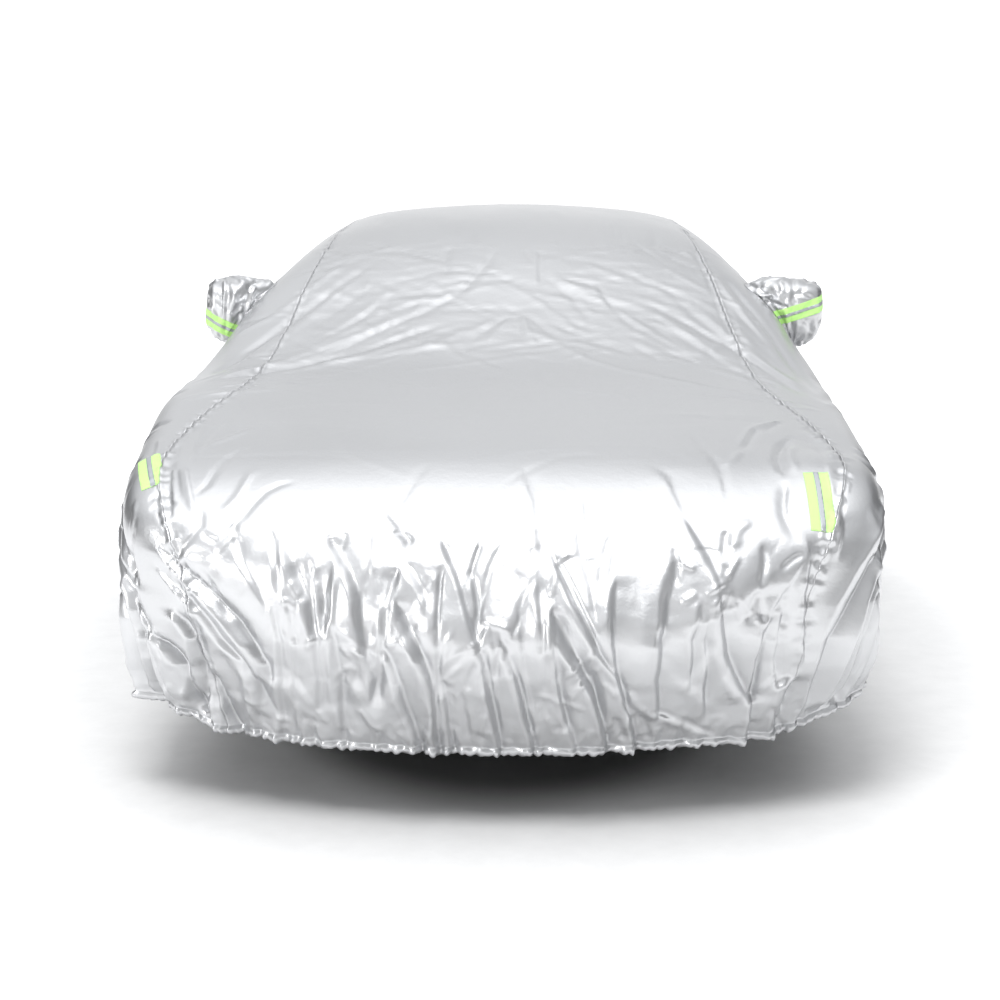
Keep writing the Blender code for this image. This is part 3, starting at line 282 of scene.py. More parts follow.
# Pleats that run down the skirt, each a strip that falls away from left to right: how steep
# it is, then in millimetres z, its middle's place along the skirt and its half width there.
PLEATS = [
    (1, 361, -659, 10.2, 406, -666, 23.6, 454, -693, 24.9, 509, -745, 28.2, 550, -803, 26.9, 591,
        -871, 22.2, 630, -939, 15.6, 671, -999, 5.3),
    (0.6, 264, -718, 26.7, 307, -716, 21.2, 362, -715, 17.6, 413, -733, 20.9, 459, -790, 17.5, 492,
        -817, 19.1, 525, -851, 20.9, 566, -907, 15.8, 620, -1004, 5.4),
    (0.7, 552, -628, 3.1, 601, -673, 7.7, 642, -721, 9.3, 723, -812, 4.7),
    (0.6, 178, -761, 11.4, 253, -689, 10.5, 370, -620, 11.7, 472, -589, 9.3, 549, -604, 3),
    (0.5, 302, -613, 6.6, 373, -576, 6.5, 474, -558, 6.1, 528, -582, 3),
    (0.6, 346, -570, 3.2, 476, -532, 4.5, 564, -565, 4.5, 646, -625, 4.5, 724, -695, 3),
    (0.8, 299, -540, 6.4, 379, -495, 7.7, 479, -477, 11.7, 566, -516, 14.5, 607, -552, 14.5, 647,
        -597, 14.7, 688, -648, 5.9),
    (0.7, 309, -518, 4.7, 380, -475, 6.1, 480, -448, 11.5, 568, -476, 11.4, 629, -523, 5.7),
    (0.8, 188, -543, 8.1, 269, -489, 9.3, 382, -436, 11.9, 481, -428, 11.4, 526, -443, 5.7),
    (0.4, 620, -505, 4.2, 691, -557, 4.3, 761, -632, 2.8),
    (1.1, 327, -358, 6.6, 388, -327, 12.2, 438, -334, 8.9, 485, -342, 8.8, 571, -381, 14.3, 602,
        -408, 15, 632, -444, 14.1, 662, -491, 12.1, 706, -555, 4.2),
    (1, 281, -982, 34.1, 341, -939, 30.6, 399, -898, 19.4, 451, -885, 16.7, 497, -914, 18.3, 514,
        -929, 12.8),
    (0.9, 183, -914, 29.8, 229, -920, 33, 274, -909, 30.1, 318, -900, 25.7, 360, -891, 11.8),
    (1, 241, -1021, 41.7, 305, -1019, 44.3, 375, -1010, 56.9, 413, -1028, 42, 446, -1058, 13.6),
    (0.4, 168, -850, 14.3, 306, -727, 14.2, 392, -675, 6.8),
    (0.4, 334, -328, 4.8, 487, -286, 4.2, 573, -307, 4.5),
    (1.2, 205, -198, 10.2, 312, -174, 8.6, 362, -169, 10.8, 407, -175, 12.9, 444, -189, 15.4, 478,
        -208, 15.6, 511, -229, 13.4, 549, -258, 11.3, 572, -278, 5.8),
    (0.9, 203, -263, 12.5, 265, -260, 14.6, 322, -262, 13.7, 378, -261, 14.4, 429, -270, 11.1, 464,
        -278, 4.1),
    (0.6, 551, -184, 5.3, 576, -195, 9.7, 606, -223, 14.7, 636, -263, 17.3, 656, -296, 9.9),
    (0.5, 676, -294, 10.3, 696, -307, 17.8, 726, -359, 15.3, 751, -413, 8.2),
    (0.9, 368, -152, 5.3, 469, -144, 4.9, 535, -152, 5.2, 577, -157, 6.8, 626, -168, 5.9),
    (0.9, 206, -153, 11.7, 284, -143, 8.8, 341, -138, 9.5, 395, -139, 2.6),
    (1.1, 209, 5, 9.6, 301, -11, 11, 371, -23, 11.3, 423, -29, 11.9, 470, -44, 8.3, 515, -63, 8.5,
        557, -82, 6.4, 598, -102, 6.9, 628, -121, 8.8, 654, -144, 9.3, 678, -169, 11.4, 702, -191,
        3.4),
    (0.7, 602, -90, 2.8, 639, -75, 4.4, 669, -68, 4.7, 707, -60, 3.4),
    (0.7, 526, -45, 2.5, 557, -53, 3.8, 598, -66, 6.8, 635, -77, 4.4),
    (0.4, 536, -46, 2.5, 599, -32, 2.7, 649, -13, 3, 709, 19, 1.7),
    (0.9, 209, 114, 9.7, 286, 79, 11.4, 343, 61, 13.1, 398, 42, 13.4, 448, 23, 11.7, 493, 9, 7.1),
    (0.5, 343, 1, 5.2, 398, -2, 6.1, 448, -6, 8.2, 502, -15, 4.8),
    (0.7, 301, 99, 7, 357, 83, 7.7, 423, 66, 7.2, 493, 58, 6, 554, 55, 3.8),
    (0.8, 500, 34, 3.6, 537, 56, 5, 579, 85, 5.3, 613, 109, 2.8),
    (0.5, 371, 117, 5.1, 447, 108, 4.8, 537, 110, 6.3, 613, 114, 4.2),
    (0.8, 207, 251, 10.3, 285, 197, 10.4, 342, 167, 8.2, 397, 147, 7.6, 470, 136, 6.1, 557, 142,
        5.2),
    (1.1, 414, 290, 4.2, 457, 252, 8, 491, 234, 9.2, 535, 216, 9.4, 578, 201, 8.3, 619, 187, 7.3,
        649, 174, 6.2, 675, 167, 3.2),
    (1.1, 203, 365, 11.2, 311, 280, 12.3, 368, 240, 16.8, 422, 200, 16.8, 458, 176, 16.3, 493, 157,
        13.7, 526, 146, 11.4, 549, 138, 5.2),
    (1.1, 199, 474, 12.2, 323, 362, 9.8, 379, 324, 10.5, 431, 298, 9.8, 479, 288, 8.3, 523, 290,
        9.8, 565, 303, 11.7, 596, 320, 9.2, 620, 340, 3.2),
    (0.5, 491, 254, 2.7, 577, 255, 2.9, 638, 267, 3.1, 688, 279, 3.4, 776, 333, 4.2),
    (0.4, 597, 296, 3, 647, 333, 3.3, 697, 381, 3.7, 760, 464, 4.2),
    (0.9, 280, 493, 7.5, 388, 431, 13, 486, 417, 13.9, 572, 450, 15.2, 623, 489, 15.3, 658, 520,
        5.6),
    (1, 562, 597, 5.9, 588, 600, 7.4, 620, 603, 10.2, 651, 605, 11.6, 682, 609, 11.5, 713, 618, 10,
        743, 633, 2.8),
    (0.8, 315, 728, 30.7, 388, 653, 31, 441, 612, 28.1, 489, 594, 24.2, 535, 587, 17.9, 576, 593,
        11.8),
    (0.8, 265, 644, 8.2, 352, 591, 11.1, 480, 548, 7.4, 536, 555, 4.4),
    (0.7, 355, 542, 9.3, 482, 508, 11.7, 569, 541, 8.6),
    (1.2, 187, 837, 13.3, 268, 780, 12.4, 341, 750, 12.1, 422, 728, 10, 482, 735, 13, 519, 754,
        12.9),
    (0.6, 526, 749, 4.8, 569, 788, 6.4, 610, 827, 4.8, 651, 865, 3.2),
    (1, 415, 889, 5.5, 461, 872, 7, 508, 868, 8.6, 553, 868, 10.1, 597, 874, 11.6, 629, 881, 11.5,
        660, 890, 8.2, 699, 902, 3.3),
    (0.7, 334, 831, 5.4, 417, 791, 5.2, 490, 791, 5, 546, 804, 4.9, 578, 811, 3.2),
    (1, 194, 929, 16.1, 228, 901, 21.3, 288, 875, 31.7, 331, 866, 37, 358, 875, 24.1),
    (0.7, 656, 984, 5.1, 677, 997, 8.6, 709, 1015, 13.7, 740, 1040, 10.2),
    (0.6, 757, 643, 4.3, 792, 677, 4.2, 829, 724, 8),
    (0.4, 629, 115, 2.9, 719, 129, 3.5, 777, 135, 4.1, 831, 107, 7.4),
    (0.9, 239, 992, 6.3, 293, 978, 12, 378, 955, 19.5, 454, 957, 24.3, 544, 1014, 39.1, 628, 1095,
        41.4, 690, 1169, 34.9, 750, 1267, 18.1),
    (1.2, 261, 1059, 16.2, 311, 1070, 18.3, 380, 1070, 20.7, 443, 1081, 18.4, 536, 1118, 15.8, 621,
        1188, 18.4, 706, 1272, 14.3, 787, 1399, 13.3),
    (1.2, 270, 1105, 10.6, 305, 1124, 11, 359, 1128, 11.3, 438, 1131, 11.6, 530, 1171, 11.8, 615,
        1250, 10.6, 696, 1366, 13.8),
    (1.1, 185, -1077, 20.5, 218, -1120, 22.1, 253, -1182, 30.3, 316, -1156, 18.4, 374, -1133, 19.1,
        426, -1135, 19.7, 499, -1152, 15.5, 543, -1188, 14.1, 607, -1253, 17.7, 667, -1345, 31.7,
        728, -1445, 2.5),
    (0.9, 459, -1078, 11.8, 485, -1101, 9.8, 524, -1148, 8.4, 555, -1185, 9.6),
    (1.1, 223, -1183, 22, 277, -1213, 17.3, 332, -1225, 26.6, 413, -1223, 27.8, 463, -1229, 25.4,
        531, -1268, 16.3),
    (0.7, 563, -1111, 13.2, 614, -1176, 28.6, 676, -1262, 27.6, 736, -1371, 33.3),
    (0.7, 226, -1070, 16.1, 270, -1078, 15.4, 325, -1085, 12.6, 380, -1090, 12.9, 431, -1099,
        10.6),
]
PLEAT_SPAN = 2.4
PLEAT_STEP = 0.002
PLEAT_LEVELS = (0.14, 0.86, 0.006)
PLEAT_BLUR = 0.0018
PLEAT_REACH = 0.055
FRONT_FACE = 2.33
# Small creases strewn over an area, or over both sides in turn: where, range of the first and
# second place, how many, slant in degrees and its spread, lengths, then half widths and
# heights in millimetres.
STREWN = [
    ("front", (-0.70, 0.72), (0.18, 0.40), 50, 0, 40, (0.05, 0.14), (10, 20), (1, 3)),
    ("front", (-0.70, 0.72), (0.36, 0.66), 30, 0, 30, (0.06, 0.16), (12, 24), (0.6, 2.2)),
    ("front", (-0.72, 0.74), (0.26, 0.66), 44, 0, 22, (0.15, 0.38), (30, 55), (4, 10)),
    ("front", (-0.66, 0.70), (0.60, 0.80), 26, 0, 20, (0.10, 0.26), (10, 20), (0.4, 1.4)),
    ("sides", (-2.12, -1.50), (0.20, 0.80), 60, 0, 9, (0.12, 0.36), (10, 22), (2, 7)),
    ("sides", (-1.5, 2.0), (0.24, 0.66), 130, 0, 14, (0.12, 0.40), (14, 34), (2, 7)),
    ("sides", (-1.7, 2.0), (0.60, 1.00), 80, 0, 38, (0.15, 0.50), (14, 34), (1, 4.5)),
    ("sides", (-0.6, 1.6), (1.00, 1.34), 40, 0, 55, (0.15, 0.50), (14, 30), (1, 3)),
    ("tail", (-0.72, 0.72), (0.18, 0.60), 110, 0, 20, (0.08, 0.30), (12, 24), (2, 7)),
    ("tail", (-0.70, 0.70), (0.55, 0.95), 50, 0, 26, (0.10, 0.30), (12, 24), (1, 4)),
    ("top", (-0.70, 0.70), (-1.95, -1.10), 50, 84, 18, (0.15, 0.50), (8, 18), (0.3, 1)),
    ("top", (-0.64, 0.64), (-1.10, -0.15), 170, 76, 30, (0.10, 0.50), (8, 16), (0.8, 2.6)),
    ("top", (-0.56, 0.56), (-0.15, 1.15), 60, 60, 50, (0.15, 0.50), (14, 30), (0.4, 1.6)),
    ("top", (-0.62, 0.62), (1.15, 2.05), 90, 60, 50, (0.15, 0.50), (14, 30), (0.8, 3)),
]
# Creases that spread from a pinch: the pinch, the first and the last place aimed at, how
# many, where they start and end on the way (0 to 1), half width and height in millimetres.
FANS = [
    ((-0.92, -1.36, 0.92), (-0.05, -0.80, 1.12), (-0.50, -0.20, 1.33), 15, 0.05, 0.95, 20, 4.2),
    ((-0.93, -1.45, 0.91), (-0.20, -1.25, 0.98), (-0.10, -0.95, 1.05), 7, 0.05, 0.80, 16, 2.6),
    ((0.91, -1.42, 0.92), (0.10, -0.70, 1.15), (0.62, -0.25, 1.30), 15, 0.05, 0.90, 20, 4.2),
    ((0.92, -1.50, 0.91), (0.15, -1.30, 0.97), (0.10, -0.95, 1.05), 7, 0.05, 0.80, 16, 2.6),
    ((0.06, -0.52, 1.23), (-0.42, -0.75, 1.12), (-0.30, -0.38, 1.28), 7, 0.08, 0.95, 16, 3.2),
    ((0.08, -0.50, 1.24), (0.55, -0.80, 1.09), (0.40, -0.42, 1.26), 7, 0.08, 0.95, 16, 3.2),
    ((0.03, -0.72, 1.15), (-0.30, -1.05, 1.01), (0.42, -1.05, 1.01), 8, 0.08, 0.90, 15, 2.8),
    ((-0.50, -2.23, 0.56), (-0.42, -2.22, 0.44), (-0.56, -2.22, 0.42), 6, 0.00, 1.0, 7.5, 2),
    ((-0.02, -2.32, 0.50), (-0.16, -2.31, 0.40), (0.08, -2.31, 0.42), 7, 0.00, 1.0, 7.5, 2),
    ((-0.32, -2.29, 0.43), (-0.42, -2.27, 0.36), (-0.26, -2.28, 0.34), 6, 0.00, 1.0, 7.5, 2),
    ((0.23, -2.31, 0.43), (0.13, -2.31, 0.38), (0.32, -2.27, 0.35), 7, 0.00, 1.0, 7.5, 2),
    ((0.54, -2.24, 0.60), (0.46, -2.26, 0.54), (0.62, -2.21, 0.50), 7, 0.00, 1.0, 7.5, 2),
    ((0.34, -2.23, 0.32), (0.26, -2.22, 0.23), (0.46, -2.15, 0.22), 7, 0.00, 1.0, 7.5, 2.2),
    ((-0.84, -2.12, 0.47), (-0.72, -2.10, 0.30), (-0.82, -2.08, 0.34), 6, 0.00, 1.0, 8, 2.4),
    ((-0.11, -2.31, 0.37), (-0.18, -2.26, 0.28), (-0.05, -2.25, 0.28), 5, 0.00, 1.0, 7.5, 2),
    ((0.11, -2.30, 0.34), (0.05, -2.22, 0.24), (0.18, -2.22, 0.24), 5, 0.00, 1.0, 7.5, 2),
    ((0.66, -2.16, 0.37), (0.58, -2.08, 0.20), (0.70, -2.08, 0.20), 6, 0.00, 1.0, 8, 2.4),
    ((-0.45, -2.14, 0.26), (-0.52, -2.10, 0.17), (-0.38, -2.12, 0.17), 7, 0.00, 1.0, 7.5, 2.2),
    ((0.85, 2.05, 0.95), (0.30, 1.70, 1.20), (0.60, 1.40, 1.30), 9, 0.05, 0.9, 22, 4),
    ((-0.85, 2.05, 0.95), (-0.30, 1.70, 1.20), (-0.60, 1.40, 1.30), 9, 0.05, 0.9, 22, 4),
    ((0.90, -0.45, 1.02), (0.93, -1.20, 0.60), (0.93, 0.30, 0.60), 8, 0.10, 0.9, 26, 6),
    ((-0.90, -0.45, 1.02), (-0.93, -1.20, 0.60), (-0.93, 0.30, 0.60), 8, 0.10, 0.9, 26, 6),
]
# Puckers of a hem or seam: steps between them, lengths, half widths, heights.
HEM_PUCKERS = ((0.012, 0.030), (0.03, 0.15), (0.010, 0.020), (0.002, 0.0065))
SEAM_PUCKERS = ((0.014, 0.034), (0.018, 0.050), (0.008, 0.012), (0.0012, 0.0034))
HEM_ROLL = 0.0105
HEM_GATHERS = ((0.0042, 107, 0.9), (0.0028, 163, -0.7), (0.0020, 61, 0.5))
SEAM_RIDGE = (0.0020, 0.006)
SEAM_GROOVE = (0.0012, 0.015, 0.006)
CREST = 0.003
BASE_ROUNDING = 0.35
END_TAPER = 0.22
# Where creases of the front, the tail and the sides are laid from, and how much wider the
# folds of the solids are here.
FRONT_Y = -2.3
TAIL_Y = 2.25
STREWN_X = 0.9
SIDE_X = 0.93
FOLD_SPREAD = 1.5
# Height of the end hems at these distances from the middle line.
END_HEM = ((0, 0.67), (0.20, 0.21))
TILE = 32

# How the grids of the sheets are shared out: stations and rows, share of the length and columns.
FRONT_COLUMNS = 360
FRONT_ROWS = [(0.0, 4.0, 132), (4.0, 4.6, 16)]
REST_ROWS = [(4.6, 10.0, 140), (10.0, 16.0, 44), (16.0, 20.0, 36)]
SIDE_ROWS = 120
SIDE_COLUMNS = [(0.0, 3.0, 60), (3.0, 10.0, 100), (10.0, 24.0, 150), (24.0, 60.0, 240)]
SEAM_TURN = 0.006
HEM_WOBBLE = 0.0009
HEM_WAVES = ((1.0, 47, 0.0), (0.7, 83, 1.3), (0.5, 151, 0.4))

# The coarse grid that the side panels start from, as in the solids.
COARSE_SKIRT_ROWS = 8
COARSE_FRONT_ROWS = 18
COARSE_REAR_ROWS = 12
SKIRT_STATIONS = 4
FRONT_HALF_STATIONS = 6
EVENING_ROUNDS = 60

MIRROR_HOLE = (-0.40, 1.105, 0.080, 0.088)
# A mirror pocket as rings: way out from the wall, y, z, half depth, half height, and how
# far the ring has left the slant of the wall.
POCKET_RINGS = [
    (0.0015, -0.400, 1.105, 0.094, 0.102, 0.0), (0.006, -0.400, 1.105, 0.089, 0.097, 0.0),
    (0.022, -0.402, 1.108, 0.098, 0.106, 0.1), (0.050, -0.405, 1.112, 0.108, 0.115, 0.35),
    (0.085, -0.408, 1.115, 0.108, 0.113, 0.65), (0.120, -0.410, 1.118, 0.100, 0.104, 0.85),
    (0.148, -0.410, 1.120, 0.082, 0.086, 1.0), (0.164, -0.410, 1.122, 0.052, 0.056, 1.0),
    (0.170, -0.410, 1.122, 0.014, 0.016, 1.0),
]
# How the pocket's tip is closed: share of the last ring's width, way out past it.
POCKET_TIP = ((0.75, 0.0008), (0.50, 0.0013), (0.25, 0.0016), (0.01, 0.0017))
POCKET_SIDES = 200
POCKET_ROWS = 84
POCKET_SQUARENESS = 2.6
POCKET_STRETCH = {1: 1.0, -1: 0.88}
POCKET_PINCHES = [(0.6, 0.35, 0.007), (2.1, 0.5, -0.008), (3.6, 0.4, 0.006), (5.1, 0.45, -0.007)]
CORNER_TAPES = [
    (1, (0.765, -2.075, 0.785), (0.00, -0.62, -0.60), 0.185),
    (-1, (-0.860, -1.94, 0.812), (0.25, -0.80, -0.30), 0.170),
]
POCKET_TAPES = [(1, (0.97, -0.51, 1.133), 0.34), (-1, (-0.95, -0.51, 1.075), -0.50)]
TAPE_WIDTH = 0.06
STRIPE_WIDTH = 0.013
TAPE_LIFT = 0.0010
STRIPE_LIFT = 0.0018
POCKET_TAPE_LENGTH = 0.30
POCKET_TAPE_WIDTH = 0.048
POCKET_STRIPE_WIDTH = 0.010
CAMERA_PLACE = (0.095, -6.85, 0.0407)
CAMERA_LENS = 62.136
CAMERA_PITCH = 10.0
CAMERA_YAW = -1.3
TAPE_THICKNESS = 0.0006
# Creases of the pockets: where along it they lie, slant, how many, half widths, heights.
POCKET_CREASES = [
    (0.05, 0.30, 0.0, 26, (0.006, 0.010), (0.002, 0.006)),
    (0.15, 0.95, 0.9, 60, (0.006, 0.014), (0.002, 0.007)),
    (0.30, 1.00, 0.0, 30, (0.006, 0.012), (0.002, 0.006)),
]
# The sky of the studio: degrees above the horizon, brightness, share of the blue tint.
SKY = [
    (0, 0.94, 0.0), (12, 0.74, 0.5), (22, 0.67, 1.0), (28, 0.71, 1.0), (36, 0.84, 1.0),
    (60, 0.62, 0.8), (90, 0.86, 0.4),
]
SKY_BLUE = (-0.05, 0.0, 0.07)
# Soft lights and dark screens: degrees to the right of the camera's own side and above the
# horizon, spread of the full part and of the edge, brightness added.
LIGHTS = [
    (0, 86, 20, 42, 1.15),
    (180, 3, 14, 26, 0.25),
    (180, 50, 2, 12, 0.30),
    (158, 42, 2, 12, -0.28),
    (-155, 40, 2, 12, 0.24),
    (-170, 28, 2, 10, -0.12),
    (0, 14, 20, 60, -0.25),
    (-22, 24, 4, 16, 0.30),
    (24, 30, 4, 14, 0.20),
    (-6, 8, 3, 12, 0.25),
    (-44, 14, 4, 18, -0.32),
    (48, 14, 8, 24, -0.42),
    (90, 10, 16, 40, -0.40),
    (128, 6, 8, 34, -0.85),
    (-124, 6, 10, 36, -0.90),
    (-88, 8, 12, 36, -0.65),
]
# The lamps: degrees to the right of the camera's own side and above the horizon, how far off
# each is and its size in metres, and how brightly it lights what faces it.
LAMPS = [(-10, 60, 9.0, 3.2, 1.9), (-46, 14, 7.0, 1.6, 0.60)]
# What the lamps are aimed past, and the darkest that a screen makes the sky.
LAMPS_AIM = (0, -2.0, -0.7)
DARKEST = 0.02
# The floor has a painted glow outside an oval round the cover, and a painted shadow where the cover
# stands: its colour is darker there.
FLOOR_COLOR = (0.70, 0.70, 0.70)
# Painted glow of the floor: how strongly it glows, the stretch of its oval, and where the glow
# starts and where it is full.
FLOOR_PAINTED_GLOW = 0.65
PAINTED_GLOW_OVAL = (1.7, 1.0, 1.0)
PAINTED_GLOW_EDGE = (2.3, 3.9)
# Painted shadow on the floor: the half sizes of its oval, where its edge fades, and how far the
# floor's colour falls inside it.
PAINTED_SHADOW_OVAL = (0.95, 2.30)
PAINTED_SHADOW_EDGE = (0.80, 0.96)
PAINTED_SHADOW_LEVEL = 0.18
CLOTH_COLOR = (0.53, 0.535, 0.545)
CLOTH_METAL = 0.84
CLOTH_ROUGHNESS = (0.29, 0.37)
TAPE_COLOR = (0.46, 0.80, 0.24)
# The colour of the tape's painted glow, which stands in for its fluorescence.
TAPE_PAINTED_GLOW = (0.75, 1.0, 0.30)
STRIPE_COLOR = (0.36, 0.38, 0.40)


def smooth_table(place, value):
    """A reader that is smooth between a table's places. A value may be a whole row or grid."""
    place, value = np.array(place, dtype=float), np.array(value, dtype=float)
    slope = np.gradient(value, place, axis=0)

    def read(query):
        query = np.clip(query, place[0], place[-1])
        index = np.clip(np.searchsorted(place, query, side="right") - 1, 0, len(place) - 2)
        step = place[index + 1] - place[index]
        s = (query - place[index]) / step
        if value.ndim > 1:
            s, step = (part.reshape(part.shape + (1,) * (value.ndim - 1)) for part in (s, step))
        start = (1 + 2 * s) * (1 - s) ** 2 * value[index] + s * (1 - s) ** 2 * step * slope[index]
        end = s * s * (3 - 2 * s) * value[index + 1] + s * s * (s - 1) * step * slope[index + 1]
        return start + end

    return read


def smooth_rows(rows, steps):
    """Rows read at fractional row numbers, smoothly."""
    return smooth_table(np.arange(len(rows)), rows)(steps)


def ease(value, low, high):
    share = np.clip((value - low) / (high - low), 0.0, 1.0)
    return share * share * (3 - 2 * share)


profile_at, flank_at, nose_at, tail_at, plan_at, crown_at = (
    smooth_table(*zip(*rows)) for rows in (PROFILE, FLANK, NOSE, TAIL, PLAN, CROWN))
ROOF_REST = np.array([0.0, ROOF_REST_Y, profile_at(ROOF_REST_Y) - CLOTH])


def soft_most(values, rounding):
    values = np.stack(values)
    most = values.max(0)
    return most + rounding * np.log(np.exp((values - most) / rounding).sum(0))


def form(points):
    x, y, z = points[..., 0], points[..., 1], points[..., 2]
    over = z - profile_at(y) + crown_at(y) * (x / CROWN_HALF_WIDTH) ** 2
    beside = np.abs(x) - flank_at(z) * plan_at(y)
    ahead = -y - nose_at(z) + NOSE_BOW * (x / BOW_HALF_WIDTH) ** 2
    behind = y - tail_at(z) + TAIL_BOW * (x / BOW_HALF_WIDTH) ** 2
    front = soft_most([over / TOP_STEEPNESS, ahead / END_STEEPNESS], HOOD_EDGE_ROUNDING)
    return soft_most([front, beside / FLANK_STEEPNESS, behind / END_STEEPNESS], EDGE_ROUNDING)


def slope_of_form(points):
    slope = np.zeros_like(points)
    probe = 0.001
    for axis in range(3):
        shift = np.zeros(3)
        shift[axis] = probe
        slope[..., axis] = (form(points + shift) - form(points - shift)) / (2 * probe)
    return slope


def normal_to_form(points):
    slope = slope_of_form(points)
    return slope / np.linalg.norm(slope, axis=-1, keepdims=True)


def lay(points, rounds=14):
    """Move points onto the form: level on the skirt, squarely above it."""
    points = np.array(points, dtype=float)
    for _ in range(rounds):
        slope = slope_of_form(points)
        way = slope.copy()
        way[..., 2] *= ease(points[..., 2], *SKIRT_LEVEL)
        length = np.maximum((way * slope).sum(-1), 0.05)
        points -= (form(points) / length)[..., None] * way
    return points


def unit(vectors):
    return vectors / np.maximum(np.linalg.norm(vectors, axis=-1, keepdims=True), 1e-9)


def tent(gap, half_width):
    """1 on a crease and straight down to 0 at its half width, rounded at both."""
    fall = 1 - (np.sqrt(gap * gap + CREST * CREST) - CREST) / half_width
    soft = (np.maximum(fall + BASE_ROUNDING, 0)) ** 2 / (4 * BASE_ROUNDING)
    return np.where(fall > BASE_ROUNDING, fall, soft)


def crease_height(points, normals, crease):
    """How far one crease lifts each point."""
    path, half_width, height, lean, closed = crease
    runs = np.diff(path, axis=0)
    lengths = np.linalg.norm(runs, axis=1)
    starts = np.concatenate([[0], np.cumsum(lengths)])
    nearest = np.full(points.shape[:-1], np.inf)
    along = np.zeros(points.shape[:-1])
    side = np.zeros(points.shape[:-1])
    for a, run, length, start in zip(path, runs, lengths, starts):
        share = np.clip((points - a) @ run / (length * length), 0, 1)
        off = points - a - share[..., None] * run
        gap = np.sqrt((off * off).sum(-1))
        closer = gap < nearest
        nearest = np.where(closer, gap, nearest)
        along = np.where(closer, (start + share * length) / starts[-1], along)
        if lean:
            turn = (np.cross(run, off) * normals).sum(-1)
            side = np.where(closer, np.clip(turn / (length * 0.004), -1, 1), side)
    fade = np.ones_like(along)
    if closed[0]:
        fade = fade * ease(along, -0.02, END_TAPER)
    if closed[1]:
        fade = fade * ease(1 - along, -0.02, END_TAPER)
    turned = lean * side
    width = half_width * (1 - 0.65 * np.maximum(turned, 0) + 1.2 * np.maximum(-turned, 0))
    width = width * (0.6 + 0.4 * fade)
    return height * fade * tent(nearest, width)


def blurred(rows, reach):
    """Each row with a bell-like blur of this reach."""
    half = max(int(round(reach * 3 / PLEAT_STEP)), 1)
    bell = np.exp(-0.5 * (np.arange(-half, half + 1) * PLEAT_STEP / reach) ** 2)
    bell /= bell.sum()
    return np.array([np.convolve(row, bell, mode="same") for row in rows])


def pleat_table():
    """How far the pleats lift the skirt, in rows of height and columns of place along it."""
    places = np.arange(-PLEAT_SPAN, PLEAT_SPAN, PLEAT_STEP)
    levels = np.arange(*PLEAT_LEVELS)
    fall = np.zeros((len(levels), len(places)))
    for steep, *rows in PLEATS:
        z, middle, half = np.reshape(rows, (-1, 3)).T / 1000
        middle, half = np.interp(levels, z, middle)[:, None], np.interp(levels, z, half)[:, None]
        share = (places - middle + half) / (2 * half)
        wide = 2 * half / PLEAT_STEP
        inside = np.clip(share * wide, 0, 1) * np.clip((1 - share) * wide, 0, 1)
        low = 1 if z[0] < 0.24 else np.clip((levels - z[0] + 0.012) / 0.024, 0, 1)[:, None]
        fade = low * np.clip((z[-1] - levels + 0.012) / 0.024, 0, 1)[:, None]
        fall += steep * fade * inside * (0.35 + 0.65 * np.clip(share, 0, 1))
    height = -np.cumsum(blurred(fall, PLEAT_BLUR), axis=1) * PLEAT_STEP
    height *= np.interp(levels, (0.35, 0.60), (2.1, 1.35))[:, None]
    edge = int(PLEAT_REACH * 3 / PLEAT_STEP)
    padded = np.pad(height, ((0, 0), (edge, edge)), mode="edge")
    height -= blurred(padded, PLEAT_REACH)[:, edge:-edge]
    return height


def pleat_height(points):
    """The pleats' lift at places on the skirt."""
    x, y, z = points[..., 0], points[..., 1], points[..., 2]
    along = x * (1 + (y + FRONT_FACE) / np.maximum(np.abs(x), 0.35))
    column = np.clip((along + PLEAT_SPAN) / PLEAT_STEP, 0, PLEAT_TABLE.shape[1] - 1.001)
    row = np.clip((z - PLEAT_LEVELS[0]) / PLEAT_LEVELS[2], 0, PLEAT_TABLE.shape[0] - 1.001)
    i, j = row.astype(int), column.astype(int)
    a, b = row - i, column - j
    height = ((1 - a) * (1 - b) * PLEAT_TABLE[i, j] + (1 - a) * b * PLEAT_TABLE[i, j + 1]
              + a * (1 - b) * PLEAT_TABLE[i + 1, j] + a * b * PLEAT_TABLE[i + 1, j + 1])
    return height * ease(-y, 0.6, 1.2)


class Cloth:
    """A grid of places with the way out of the cloth there, and how far creases lift it."""

    def __init__(self, base, normal=None):
        self.base = base
        self.normal = normal_to_form(base) if normal is None else normal
        level = np.ones(3) * ease(base[..., 2:], *SKIRT_LEVEL)
        level[..., :2] = 1.0
        self.push = unit(self.normal * level) if normal is None else normal
        self.height = np.zeros(base.shape[:-1])
        self.tiles = []
        rows, columns = base.shape[:2]
        for i in range(0, rows, TILE):
            for j in range(0, columns, TILE):
                self.tiles.append((slice(i, i + TILE), slice(j, j + TILE)))
        self.low = np.array([base[tile].reshape(-1, 3).min(0) for tile in self.tiles])
        self.high = np.array([base[tile].reshape(-1, 3).max(0) for tile in self.tiles])

    def fold(self, creases):
        for crease in creases:
            path, reach = crease[0], crease[1] * 1.35 * (1 + 1.2 * abs(crease[3]))
            near = (self.low <= path.max(0) + reach) & (self.high >= path.min(0) - reach)
            for n in np.flatnonzero(near.all(1)):
                tile = self.tiles[n]
                self.height[tile] += crease_height(self.base[tile], self.normal[tile], crease)

    def swell(self):
        for middle, reach, height in SWELLINGS:
            gap = np.linalg.norm(self.base - np.array(middle), axis=-1)
            self.height += height * np.exp(-((gap / reach) ** 2) * 2)

    def outer(self, lift=0.0):
        return self.base + self.push * (self.height + lift)[..., None]


